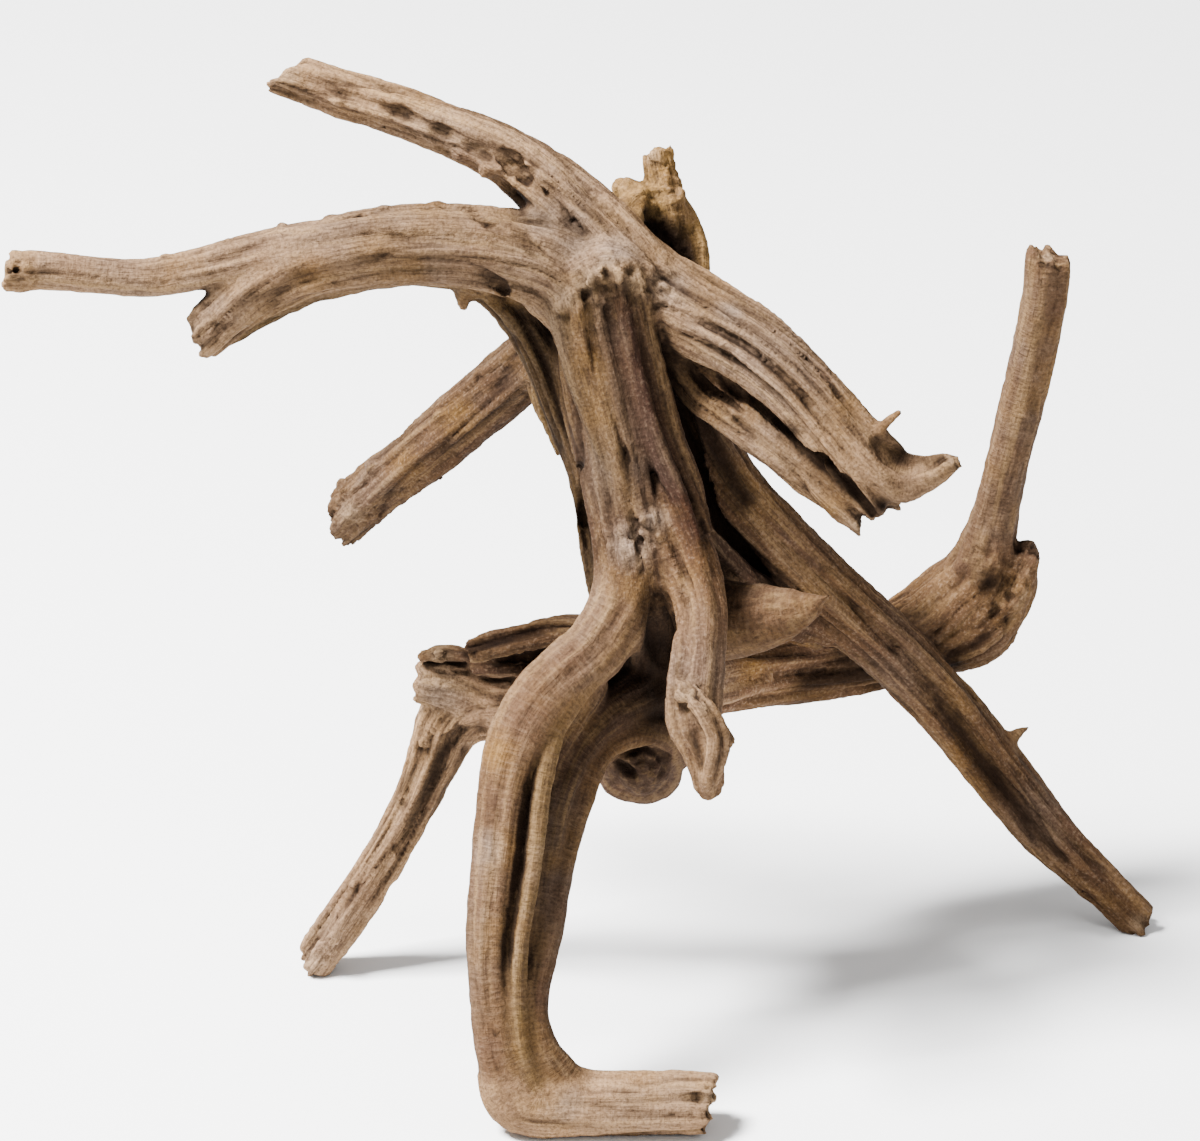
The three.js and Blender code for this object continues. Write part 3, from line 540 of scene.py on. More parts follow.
# %% Knobs: small round lumps that sit on the limbs
KNOBS = [
    (112.2, 60.8, -9.4, 1.5), (114.8, 58.2, -10.8, 1.7), (117.8, 56.8, -11.6, 1.5),
    (119.4, 54.6, -11, 1.7), (121.4, 56.4, -12.2, 1.4), (124, 55.2, -11.8, 1.7), (126.6, 56.6, -11.2, 1.5),
    (128.6, 58.6, -10.8, 1.2), (116.2, 61.4, -11.8, 1.2), (120.6, 60, -12.4, 1.2), (57, 49.6, -12, 1.3),
    (67, 47.2, -9, 1.2), (77, 44.6, -7, 1.3), (87, 42.8, -5, 1.1), (46, 49.6, -13, 1), (33, 52, -14.6, 1),
    (84, 81, 23, 1.6), (75.6, 93, 36, 1.7), (98, 76, 20, 1.4), (88, 95.6, 30, 1.3), (69, 97, 41, 1.5),
    (96.6, 35, 3, 1.6), (91, 32.4, 4, 1.2), (67.6, 20, 9, 1), (85, 148, 5, 1.6), (79.6, 160, 5.6, 1.2),
    (70, 177, 5, 1.3), (66.4, 188, 4.6, 1.2), (98.6, 132, -1, 1.6), (88, 130.6, 3, 1.6),
    (82.4, 131, 4, 1.3), (146.6, 146, -40, 1.6), (136, 139, -41, 1.5), (141.2, 141, -42, 1.4),
    (204, 118, 32, 1.7), (196, 108.6, 33.6, 1.4), (191, 113, 32, 1.5), (200.6, 122.6, 32, 1.5),
    (152, 134.8, 20, 1.6), (149, 131, 18, 1.5), (131, 31, 16.6, 1.4), (128.4, 39, 12.6, 1.4),
    (136, 39.6, 14.6, 1.6), (214, 174, 23, 1.3), (180, 129.6, 18, 1.2), (127, 104, -24, 1.3),
    (146.6, 83.2, -9, 1.1), (205.6, 84, 32, 1)]
KNOB_MELT = 1.0
KNOB_SUNK = 0.25
SETTLING_STEPS = 5
FLAT = 1e-3


def read_grid(values, found, step):
    """A grid's value at each point, mixed from the eight cells round it."""
    place = (found - grid_low) / (VOXEL * step)
    base = np.clip(np.floor(place).astype(int), 0, np.array(values.shape) - 2)
    part = np.clip(place - base, 0, 1)
    total = np.zeros(len(found))
    for corner in np.ndindex(2, 2, 2):
        weight = np.prod(np.where(corner, part, 1 - part), axis=1)
        total += weight * values[tuple((base + corner).T)]
    return total


def settled(middle, radius):
    """The knob's middle, moved straight towards the skin until it lies a little below it."""
    for _ in range(SETTLING_STEPS):
        around = middle + np.concatenate([np.zeros((1, 3)), np.eye(3), -np.eye(3)]) * VOXEL
        values = read_grid(field, around, 1)
        slope = values[1:4] - values[4:7]
        steep = np.linalg.norm(slope)
        if steep < FLAT:
            return None
        middle = middle - slope / steep * (values[0] + KNOB_SUNK * radius)
    return middle


def add_knob(middle, radius):
    """Blends one ball into the field."""
    reach = radius + 2 * KNOB_MELT
    low = np.maximum(np.floor((middle - reach - grid_low) / VOXEL).astype(int), 0)
    high = np.minimum(np.ceil((middle + reach - grid_low) / VOXEL).astype(int), grid_shape)
    x, y, z = (np.arange(a, b) * VOXEL + start - m for a, b, start, m in zip(low, high, grid_low, middle))
    away = np.sqrt(x[:, None, None] ** 2 + y[None, :, None] ** 2 + z[None, None, :] ** 2)
    part = tuple(slice(a, b) for a, b in zip(low, high))
    field[part] = rounded_min(field[part], (away - radius).astype(np.float32), KNOB_MELT)


print(len(KNOBS), "knobs")

# %% The grid, and every limb and hollow written into it
VOXEL = 0.6
GRID_MARGIN = 3.0
DEEPEST = 3.0
LEAST_MARGIN = 1.5

solid_low, solid_high = (np.array(corner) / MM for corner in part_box("driftwood"))
grid_low = solid_low - GRID_MARGIN
grid_shape = np.ceil((solid_high + GRID_MARGIN - grid_low) / VOXEL).astype(int)
field = np.full(grid_shape, DEEPEST, np.float32)


def cells_near(limb, margin):
    """The grid cells that lie within a margin of a limb, as three lists of indices."""
    reach = limb["width"].max() * WIDEST + margin
    low = np.maximum(np.floor((limb["middle"].min(0) - reach - grid_low) / VOXEL).astype(int), 0)
    high = np.minimum(np.ceil((limb["middle"].max(0) + reach - grid_low) / VOXEL).astype(int), grid_shape)
    near = np.zeros(high - low, bool)
    for middle, width in zip(limb["middle"][::3], limb["width"][::3]):
        around = width * WIDEST + margin + 2 * RING_STEP
        a = np.maximum(np.floor((middle - around - grid_low) / VOXEL).astype(int) - low, 0)
        b = np.maximum(np.ceil((middle + around - grid_low) / VOXEL).astype(int) - low, 0)
        near[a[0]:b[0], a[1]:b[1], a[2]:b[2]] = True
    return tuple(index + start for index, start in zip(np.nonzero(near), low))


def carve(limb, melt, hollow=False):
    """Adds a limb to the field, or cuts a hollow out of it."""
    cells = cells_near(limb, max(melt, LEAST_MARGIN))
    gap = outside(limb, np.stack(cells, 1) * VOXEL + grid_low).astype(np.float32)
    old = field[cells]
    field[cells] = rounded_max(old, -gap, melt) if hollow else rounded_min(old, gap, melt)
    return len(cells[0])


SEARCH = np.linspace(-7, 7, 57)


def on_skin(point, sunk):
    """The hollow's point, moved along the line of sight to the skin, and sunk by a share of its width."""
    across, down, back, width = point
    tried, _ = placed([(across, down, back + step) for step in SEARCH])
    inside = read_grid(field, tried, 1) < 0
    entries = np.nonzero(~inside[:-1] & inside[1:])[0]
    if not len(entries):
        return point
    nearest_entry = entries[np.abs(SEARCH[entries]).argmin()]
    return across, down, back + SEARCH[nearest_entry] + sunk * width * math.cos(VIEW_TILT), width


touched = sum(carve(limb, limb["melt"]) for limb in rings.values())
for middle, (*_, radius) in zip(placed(KNOBS)[0], KNOBS):
    place = settled(middle, radius)
    if place is not None:
        add_knob(place, radius)
for melt, sunk, points in HOLLOWS.values():
    if sunk is not None:
        points = [on_skin(point, sunk) for point in points]
    touched += carve(rings_of({**USUAL, "groove": 0.0, "points": points}), melt, hollow=True)
heights = grid_low[2] + np.arange(grid_shape[2]) * VOXEL
field = np.maximum(field, -heights[None, None, :].astype(np.float32))
field = np.clip(field, -DEEPEST, DEEPEST)
print(grid_shape, "cells,", touched, "of them touched")

# %% [markdown]
# ## From the field to a mesh
#
# The library that Blender uses for smoke and clouds also turns a grid of distances into a mesh of
# even quads. That mesh is closed, and it follows every limb and hollow.

# %% The skin of the field
def skin_of(values):
    """Points in mm and quads where the field is zero."""
    grid = openvdb.FloatGrid(background=DEEPEST)
    grid.copyFromArray(values)
    found, quads = grid.convertToQuads(isovalue=0.0)
    return found * VOXEL + grid_low, quads


def main_part(found, quads):
    """The points and quads of the largest joined part, so that no closed bubble is left inside."""
    label = np.arange(len(found))
    while True:
        lowest = label[quads].min(1)
        lower = label.copy()
        for corner in quads.T:
            np.minimum.at(lower, corner, lowest)
        lower = lower[lower]
        if (lower == label).all():
            break
        label = lower
    kept = label == np.bincount(label).argmax()
    number = np.cumsum(kept) - 1
    return found[kept], number[quads[kept[quads[:, 0]]]]


def mesh_of(name, found, quads):
    """A mesh object in metres, with its faces turned outwards."""
    mesh = bpy.data.meshes.new(name)
    corners = found[quads].reshape(-1, 4, 3)
    crossed = np.cross(corners[:, 2] - corners[:, 0], corners[:, 3] - corners[:, 1])
    outward = (crossed * corners.mean(1)).sum() > 0
    mesh.from_pydata((found * MM).tolist(), [], (quads if outward else quads[:, ::-1]).tolist())
    made = bpy.data.objects.new(name, mesh)
    bpy.context.scene.collection.objects.link(made)
    return made


all_points, all_quads = skin_of(field)
skin_points, skin_quads = main_part(all_points, all_quads)
print(len(all_points) - len(skin_points), "points of bubbles left out")
body = mesh_of("driftwood_body", skin_points, skin_quads)
print(len(skin_points), "points,", len(skin_quads), "quads")

# %% [markdown]
# ## The grain
#
# Wood splits along its fibres, so furrows, cracks and fine lines all run along a limb. Every point of
# the skin is told where it lies in its limb: how far to the side, how far to the front, and how far
# along. It is told the same for the second nearest limb, and how much of that one to mix in. A
# pattern that is read at those places follows each limb round its bends, and fades where two meet.

# %% The two nearest limbs of every point, and the point's place in each
GRAIN_REACH = 4.0
MIX_RANGE = 2.5
LIMB_OFFSET = 137.0


def limbs_of(found):
    """The nearest and second nearest limb of each point, and the second one's weight."""
    best = np.full((len(found), 2), 1e3)
    which = np.zeros((len(found), 2), int)
    for number, limb in enumerate(rings.values()):
        reach = limb["width"].max() * WIDEST + GRAIN_REACH
        inside = (found > limb["middle"].min(0) - reach) & (found < limb["middle"].max(0) + reach)
        rows = np.nonzero(inside.all(1))[0]
        gap = outside(limb, found[rows])
        first = gap < best[rows, 0]
        second = ~first & (gap < best[rows, 1])
        moved = rows[first]
        best[moved, 1], which[moved, 1] = best[moved, 0], which[moved, 0]
        best[moved, 0], which[moved, 0] = gap[first], number
        best[rows[second], 1], which[rows[second], 1] = gap[second], number
    apart = np.clip((best[:, 1] - best[:, 0]) / MIX_RANGE, 0, 1)
    return which, 0.5 * (1 - apart) ** 2 * (1 + 2 * apart)


def grain_at(found, which):
    """Each point's side, front and run in the limb that is named for it, in mm."""
    grain = np.zeros((len(found), 3))
    for number, limb in enumerate(rings.values()):
        rows = np.nonzero(which == number)[0]
        if len(rows):
            side, front, past, _, run, _ = within(limb, found[rows])
            grain[rows] = np.stack([side, front, run + past + LIMB_OFFSET * number], 1)
    return grain


# %% How much of the limb's neighbourhood is wood, which is how sheltered a point is
SHELTER_STEP = 4
SHELTER_REACH = 4
SHELTER_LIFT = 2.0
CREASE_LIFT = 2.4


def blurred(values, reach):
    """A grid averaged over a small block round every cell, twice over for a rounder block."""
    for _ in range(2):
        for axis in range(3):
            padded = np.concatenate([np.zeros_like(values.take([0], axis)), values.cumsum(axis)], axis)
            size = values.shape[axis]
            high = np.minimum(np.arange(size) + reach, size)
            low = np.maximum(np.arange(size) - reach, 0)
            values = (padded.take(high, axis) - padded.take(low, axis)) / (2 * reach)
    return values


coarse = field[::SHELTER_STEP, ::SHELTER_STEP, ::SHELTER_STEP]
wood_share = blurred((coarse < 0).astype(float), SHELTER_REACH)
print("share of wood round a cell, at most", wood_share.max().round(2))

# %% Write an attribute on points or on the corners of faces
def write(mesh, name, kind, domain, values):
    """Stores one value for every point or corner under a name that nodes can read."""
    layer = mesh.attributes.new(name, kind, domain)
    key = {"FLOAT": "value", "FLOAT_VECTOR": "vector", "FLOAT_COLOR": "color"}[kind]
    layer.data.foreach_set(key, np.asarray(values, np.float32).ravel())


nearest, second_weight = limbs_of(skin_points)
for letter, column in (("a", 0), ("b", 1)):
    write(body.data, "grain_" + letter, "FLOAT_VECTOR", "POINT", grain_at(skin_points, nearest[:, column]))
write(body.data, "share_b", "FLOAT", "POINT", second_weight)
print("mixed points:", int((second_weight > 0.05).sum()))

# %% Spots where the wood is knobbly: a place on the sheet and how far round it
KNOBBLY = [
    (122, 58, -10, 9), (131, 57, -9, 6), (127, 107, -23, 8), (138, 139, -40, 5), (134, 36, 18, 7),
    (88, 135, 4, 3.4), (106, 133, -2, 6), (200, 117, 33, 9), (70, 103, 42, 9), (104, 34, 0, 5),
    (4, 53.8, -20, 5), (41, 66, -17, 5), (141, 220, -62, 4), (64, 190, 6, 5), (210, 52, 31, 4)]
SPOT_EDGE = 1.3


def near_spots(found, spots):
    """How near each point is to the nearest spot, from 0 to 1, with each spot settled on the skin."""
    middles, _ = placed([on_skin(spot, 0) for spot in spots])
    strength = np.zeros(len(found))
    for middle, (*_, reach) in zip(middles, spots):
        away = np.linalg.norm(found - middle, axis=1) / reach
        strength = np.maximum(strength, np.clip(SPOT_EDGE - away, 0, 1))
    return strength


write(body.data, "knobbly", "FLOAT", "POINT", near_spots(skin_points, KNOBBLY))
print(len(KNOBBLY), "knobbly spots")

# %% How strongly the water has left relief on each limb
def of_limbs(values, which, second):
    """A value of each limb, read at every point and mixed where two limbs meet."""
    values = np.array(values, float)
    second = second.reshape((-1,) + (1,) * (values.ndim - 1))
    return values[which[:, 0]] * (1 - second) + values[which[:, 1]] * second


carving = of_limbs([limb["carving"] for limb in LIMBS.values()], nearest, second_weight)
write(body.data, "carving", "FLOAT", "POINT", carving)
print("relief between", carving.min().round(2), "and", carving.max().round(2))

# %% [markdown]
# ## The relief
#
# A node tree follows the grain over the whole skin and moves it in and out: wide furrows that run on
# for centimetres, finer ones between them, and small pits. The furrows are where a noise crosses its
# middle value, which gives narrow valleys and round ridges that split and join as they do in wood.

# %% A helper that adds a node, sets its values and links its inputs
def add_node(tree, kind, inputs=None, **settings):
    """Adds a node. An input is a number, a tuple, or another node's output."""
    node = tree.nodes.new(kind)
    for name, value in settings.items():
        setattr(node, name, value)
    for key, value in (inputs or {}).items():
        socket = node.inputs[key]
        if isinstance(value, bpy.types.NodeSocket):
            tree.links.new(value, socket)
        else:
            socket.default_value = value
    return node


def calculate(tree, operation, a, b=0.0, clamp=False):
    """One arithmetic step between two numbers or outputs."""
    return add_node(tree, "ShaderNodeMath", {0: a, 1: b}, operation=operation, use_clamp=clamp).outputs[0]


# %% The relief's node tree
RELIEF_INPUTS = {
    "Furrow width": 4.6, "Furrow length": 62.0, "Furrow depth": 1.5,
    "Fine width": 1.8, "Fine length": 28.0, "Fine depth": 0.45,
    "Pit size": 4.4, "Pit depth": 0.5, "Lump size": 3.4, "Lump height": 0.8,
    "Knob size": 1.9, "Knob height": 4.0, "Seed": 7.0,
}
RIDGE_RISE = 6.0
RIDGE_CURVE = 0.6
PIT_RISE = 3.4
PIT_STRETCH = 2.2
WAVE_MEAN = 0.7


def relief_tree():
    """Moves the skin along its normals, by furrows, fine furrows and pits that follow the grain."""
    tree = bpy.data.node_groups.new("relief", "GeometryNodeTree")
    tree.interface.new_socket("Geometry", in_out="INPUT", socket_type="NodeSocketGeometry")
    for name, value in RELIEF_INPUTS.items():
        socket = tree.interface.new_socket(name, in_out="INPUT", socket_type="NodeSocketFloat")
        socket.default_value = value
    tree.interface.new_socket("Material", in_out="INPUT", socket_type="NodeSocketMaterial")
    tree.interface.new_socket("Geometry", in_out="OUTPUT", socket_type="NodeSocketGeometry")
    given = tree.nodes.new("NodeGroupInput").outputs

    def named(name, kind):
        return add_node(tree, "GeometryNodeInputNamedAttribute", {"Name": name}, data_type=kind).outputs[0]

    def stretched(grain, width, length):
        size = add_node(tree, "ShaderNodeCombineXYZ", {"X": width, "Y": width, "Z": length}).outputs[0]
        return add_node(tree, "ShaderNodeVectorMath", {0: grain, 1: size}, operation="DIVIDE").outputs[0]

    def ridges(grain, width, length, detail):
        noise = add_node(
            tree, "ShaderNodeTexNoise",
            {"Vector": stretched(grain, width, length), "W": given["Seed"], "Scale": 1.0,
             "Detail": detail, "Roughness": 0.45, "Distortion": 0.25}, noise_dimensions="4D").outputs[0]
        from_middle = calculate(tree, "ABSOLUTE", calculate(tree, "SUBTRACT", noise, 0.5))
        wave = calculate(tree, "MINIMUM", calculate(tree, "MULTIPLY", from_middle, RIDGE_RISE), 1.0)
        return calculate(tree, "POWER", wave, RIDGE_CURVE)

    def pits(grain, size):
        spots = add_node(
            tree, "ShaderNodeTexVoronoi",
            {"Vector": stretched(grain, size, calculate(tree, "MULTIPLY", size, PIT_STRETCH)),
             "Scale": 1.0}).outputs[0]
        return calculate(tree, "SUBTRACT", 1.0, calculate(tree, "MULTIPLY", spots, PIT_RISE), clamp=True)

    mixed = {}
    for letter in "ab":
        grain = named("grain_" + letter, "FLOAT_VECTOR")
        mixed[letter] = (
            ridges(grain, given["Furrow width"], given["Furrow length"], 1.0),
            ridges(grain, given["Fine width"], given["Fine length"], 2.0),
            pits(grain, given["Pit size"]))
    share = named("share_b", "FLOAT")
    wide, fine, pit = (
        add_node(tree, "ShaderNodeMix", {0: share, 2: a, 3: b}).outputs[0]
        for a, b in zip(mixed["a"], mixed["b"]))
    above_mean = calculate(tree, "SUBTRACT", wide, WAVE_MEAN)
    height = calculate(tree, "MULTIPLY", above_mean, given["Furrow depth"])
    fine_above_mean = calculate(tree, "SUBTRACT", fine, WAVE_MEAN)
    fine_height = calculate(tree, "MULTIPLY", fine_above_mean, given["Fine depth"])
    height = calculate(tree, "ADD", height, fine_height)
    height = calculate(tree, "SUBTRACT", height, calculate(tree, "MULTIPLY", pit, given["Pit depth"]))
    height = calculate(tree, "MULTIPLY", height, named("carving", "FLOAT"))
    position = add_node(tree, "GeometryNodeInputPosition").outputs[0]

    def lumps(size):
        scale = calculate(tree, "DIVIDE", 1 / MM, size)
        noise = add_node(
            tree, "ShaderNodeTexNoise",
            {"Vector": position, "W": given["Seed"], "Scale": scale, "Detail": 2.0},
            noise_dimensions="4D").outputs[0]
        return calculate(tree, "SUBTRACT", noise, 0.5)

    knobs = calculate(tree, "MULTIPLY", lumps(given["Knob size"]), named("knobbly", "FLOAT"))
    height = calculate(tree, "ADD", height, calculate(tree, "MULTIPLY", knobs, given["Knob height"]))
    lump = calculate(tree, "MULTIPLY", lumps(given["Lump size"]), given["Lump height"])
    height = calculate(tree, "ADD", height, lump)
    normal = add_node(tree, "GeometryNodeInputNormal").outputs[0]
    offset = add_node(
        tree, "ShaderNodeVectorMath",
        {0: normal, "Scale": calculate(tree, "MULTIPLY", height, MM)}, operation="SCALE").outputs[0]
    geometry = given["Geometry"]
    for name, value in (("furrow", wide), ("fine_furrow", fine), ("pit", pit)):
        geometry = add_node(
            tree, "GeometryNodeStoreNamedAttribute", {"Geometry": geometry, "Name": name, "Value": value},
            data_type="FLOAT", domain="POINT").outputs[0]
    moved = add_node(tree, "GeometryNodeSetPosition", {"Geometry": geometry, "Offset": offset}).outputs[0]
    parts = add_node(tree, "ShaderNodeSeparateXYZ", {0: position}).outputs
    lifted = add_node(
        tree, "ShaderNodeCombineXYZ",
        {0: parts[0], 1: parts[1], 2: calculate(tree, "MAXIMUM", parts[2], 0.0)}).outputs[0]
    above = add_node(tree, "GeometryNodeSetPosition", {"Geometry": moved, "Position": lifted}).outputs[0]
    whole = add_node(tree, "GeometryNodeRealizeInstances", {0: above}).outputs[0]
    dressed = add_node(
        tree, "GeometryNodeSetMaterial", {"Geometry": whole, "Material": given["Material"]}).outputs[0]
    finished = tree.nodes.new("NodeGroupOutput")
    tree.links.new(dressed, finished.inputs[0])
    return tree


# %% Run the tree and keep its result as a plain mesh
def run_tree(thing, tree, values):
    """Applies a node tree to an object with its inputs set, and returns the result as a mesh."""
    modifier = thing.modifiers.new(tree.name, "NODES")
    modifier.node_group = tree
    sockets = {s.name: s.identifier for s in tree.interface.items_tree if s.in_out == "INPUT"}
    for name, value in values.items():
        modifier[sockets[name]] = value
    evaluated = thing.evaluated_get(bpy.context.evaluated_depsgraph_get())
    result = bpy.data.meshes.new_from_object(evaluated)
    thing.modifiers.remove(modifier)
    return result


paint = bpy.data.materials.new("weathered wood")
carved = run_tree(body, relief_tree(), {**RELIEF_INPUTS, "Material": paint})
print("relief on", len(carved.vertices), "points")

# %% [markdown]
# ## A lighter mesh
#
# The even grid spends as many faces on smooth stretches as on sharp ridges. Decimate folds up edges
# where that changes least, so what is left lies where the shape needs it.

# %% Fold up the faces that the shape doesn't need
MOST_TRIANGLES = 190000

body.data = carved
lighter = body.modifiers.new("lighter", "DECIMATE")
lighter.ratio = min(1.0, MOST_TRIANGLES / (2 * len(carved.polygons)))
evaluated = body.evaluated_get(bpy.context.evaluated_depsgraph_get())
shape = bpy.data.meshes.new_from_object(evaluated)
shape.name = "driftwood_skin"
shape.polygons.foreach_set("use_smooth", [True] * len(shape.polygons))
wood = bpy.data.objects.new("driftwood_skin", shape)
bpy.context.scene.collection.objects.link(wood)
bpy.data.objects.remove(body)
shape.calc_loop_triangles()
print(len(shape.loop_triangles), "triangles, attributes:", [a.name for a in shape.attributes])

# %% Write the grain again, now on the corners of faces, so that it never smears inside one face
def arrays_of(mesh):
    """Points, normals, the point of each corner, and the first corner and size of each face."""
    found = np.empty(len(mesh.vertices) * 3, np.float32)
    mesh.vertices.foreach_get("co", found)
    normals = np.empty(len(mesh.vertices) * 3, np.float32)
    mesh.vertices.foreach_get("normal", normals)
    corner = np.empty(len(mesh.loops), np.int32)
    mesh.loops.foreach_get("vertex_index", corner)
    total = np.empty(len(mesh.polygons), np.int32)
    mesh.polygons.foreach_get("loop_total", total)
    return found.reshape(-1, 3) / MM, normals.reshape(-1, 3), corner, total


found, normals, corner, total = arrays_of(shape)
owner = np.repeat(np.arange(len(total)), total)
centre = np.zeros((len(total), 3))
for axis in range(3):
    centre[:, axis] = np.bincount(owner, found[corner, axis]) / total
face_limbs, _ = limbs_of(centre)
for name in ("grain_a", "grain_b", "share_b"):
    if name in shape.attributes:
        shape.attributes.remove(shape.attributes[name])
for letter, column in (("a", 0), ("b", 1)):
    write(shape, "grain_" + letter, "FLOAT_VECTOR", "CORNER",
          grain_at(found[corner], face_limbs[owner, column]) * MM)
point_limbs, point_weight = limbs_of(found)
write(shape, "share_b", "FLOAT", "POINT", point_weight)
# Shelter and crease say how enclosed a point is; the paint darkens enclosed points with them, which is
# painted shade.
shelter = read_grid(wood_share, found + normals * SHELTER_LIFT, SHELTER_STEP)
write(shape, "shelter", "FLOAT", "POINT", shelter)
crease = 1 - read_grid(field, found + normals * CREASE_LIFT, 1) / CREASE_LIFT
write(shape, "crease", "FLOAT", "POINT", np.clip(crease, 0, 1))
for name, values in (("shelter", shelter), ("crease", crease)):
    print(name, "at 5, 50 and 95%:", np.percentile(values, [5, 50, 95]).round(2))

# %% [markdown]
# ## The paint
#
# Weathered wood isn't one brown. The ridges are worn to ochre and tan, the flanks are a greyed
# brown, and the furrows are darker, partly with dirt and partly with painted shade. Creases, recesses
# and the deep gaps between limbs get painted shade. Each limb also has its own tone: the hub is
# bleached, and the undersides are painted darker, which is painted shade.

# %% The tone of each limb
TONES = {
    "tan": (0.1648, 0.0972, 0.0502), "brown": (0.0772, 0.041, 0.0191), "olive": (0.0876, 0.0518, 0.0198),
    "dark": (0.0371, 0.0194, 0.0106), "red": (0.0566, 0.0248, 0.0145), "ochre": (0.1339, 0.067, 0.0145),
    "honey": (0.15, 0.085, 0.028), "grey": (0.1442, 0.108, 0.0845), "pale": (0.309, 0.2052, 0.1188),
}
tint = of_limbs([TONES[limb["tone"]] for limb in LIMBS.values()], point_limbs, point_weight)
# Each limb's lightness: partly its own tone, partly painted shade on undersides and on webs deep between
# limbs.
shade = of_limbs([limb["shade"] for limb in LIMBS.values()], point_limbs, point_weight)
print("tones:", list(TONES))

# %% Painted shade in the hollows and deep gaps, and spots tinted ochre, grey and pale
PAINTED_SHADE_STREAKS = [
    [(131.8, 67, -3, 2.6), (134.6, 80, 4, 4), (139.4, 94, 9, 4.4), (147, 107.6, 14, 4.2),
     (154.6, 117, 16, 3)],
    [(139, 80, 5, 3.4), (144, 92, 9, 4), (149, 100, 12, 3)],
    [(131.4, 129, -17, 4), (131.6, 135, -14, 6), (132, 142, -14, 6), (122, 148, -14, 4)],
    [(187, 140, 19, 1.2), (193, 147.6, 20, 2.6), (200, 157, 21, 3), (206.6, 165.4, 22, 1.6)],
    [(96.4, 145, 3.8, 0.8), (91.8, 147, 4, 1.6), (88.2, 151, 5, 2.2), (86.2, 157, 6, 2),
     (82.6, 164, 6.4, 1.5), (79.6, 171, 7, 0.7)],
    [(156, 83.6, -13, 1.8), (160.6, 87.6, -14, 2.8), (166, 93, -16, 2.8), (171, 98.6, -18, 2.2)],
    [(176.4, 101, -20, 3), (180, 103, -20, 2.4)],
    [(160, 137, 30, 5), (175, 134.6, 34, 5)],
    [(132, 46, 12, 3.6), (136, 50.4, 12, 4)],
    [(138.4, 147, -42, 1.4), (140.2, 153, -43, 1.4)],
    [(79, 22, 7, 0.9), (81.6, 23.2, 7, 1.3)],
    [(86.6, 25.4, 5, 0.9), (89.4, 26.6, 5, 1.3)],
    [(94.4, 29.4, 3, 0.9), (96.8, 30.8, 3, 1.2)],
]
PAINTED_SHADE_SPOTS = [
    (124, 141, -14, 5), (116, 102, -6, 3), (198, 116.6, 33, 3.4), (109, 131, 0, 4.4), (120, 132, -4, 5),
    (128.4, 43, 11, 3), (180, 91.6, -21, 2.8), (147, 78.2, -10, 2.4), (124.8, 153.6, -16, 1.8),
    (2, 54.4, -19, 1.2)]
BLEACHED = [
    (126, 109, -22, 5), (131, 104, -21, 3), (124, 50, -6, 6), (134, 57, -8, 5), (108, 44, -5, 5),
    (115, 47, -5, 6), (146, 62, -12, 3), (87, 139, 4, 6), (112, 221, -62, 4), (97, 170, -46, 4)]
SUNNY = [
    (117, 74, -14, 4), (119.4, 84, -17, 3.4), (163, 105, 14, 3), (62, 55, -20, 4), (74, 50, -18, 4),
    (132, 33, 15, 5), (128, 41, 12, 4), (166, 102, -17, 3), (101, 170, -48, 4), (99, 150, -40, 4),
    (92, 84, 22, 5), (80, 92, 32, 5), (150, 133, 18, 4)]
PALE = [
    (113, 59.6, -9, 3), (117, 56.6, -11, 4), (122, 55.6, -12, 4), (127, 57, -11, 3.4), (2, 53.8, -19, 3),
    (40, 68, -16, 3), (143, 220, -62, 3), (137, 138.8, -41, 2.2), (141.4, 141.6, -45, 1.6),
    (62, 193, 6, 3), (57.6, 15, 12, 2.6), (190.6, 91.6, -22, 2.4), (172, 105, -17, 2),
    (209.6, 51, 31, 2.4), (70, 103, 41, 3), (228, 185, 24, 2.4), (130, 31, 17, 2.6), (88, 131, 3, 3),
    (84, 141, 5, 4)]
SPOT_STRENGTH = 0.6
BLEACHED_SHADE = 1.15


def spots_along(streak):
    """Spots a millimetre apart along a streak's points."""
    spots = []
    for a, b in zip(streak, streak[1:]):
        count = max(2, int(math.dist(a[:3], b[:3])))
        spots += [tuple(spot) for spot in np.linspace(a, b, count)]
    return spots


# Painted shade: these spots and streaks darken the hollows, pits and the deep gaps between limbs.
painted_shade_spots = PAINTED_SHADE_SPOTS + [spot for streak in PAINTED_SHADE_STREAKS for spot in spots_along(streak)]
painted_shade = near_spots(found, painted_shade_spots)
bleached = near_spots(found, BLEACHED)
shade = shade + (BLEACHED_SHADE - shade) * bleached
for spots, tone in ((SUNNY, "ochre"), (BLEACHED, "grey"), (PALE, "pale")):
    near = near_spots(found, spots)[:, None] * SPOT_STRENGTH
    tint = tint * (1 - near) + np.array(TONES[tone]) * near
write(shape, "tint", "FLOAT_COLOR", "POINT", np.column_stack([tint, np.ones(len(tint))]))
write(shape, "painted_shade", "FLOAT", "POINT", painted_shade)
write(shape, "shade", "FLOAT", "POINT", shade)
print("damp share", (painted_shade > 0.5).mean().round(3), "bleached share", (bleached > 0.5).mean().round(3))

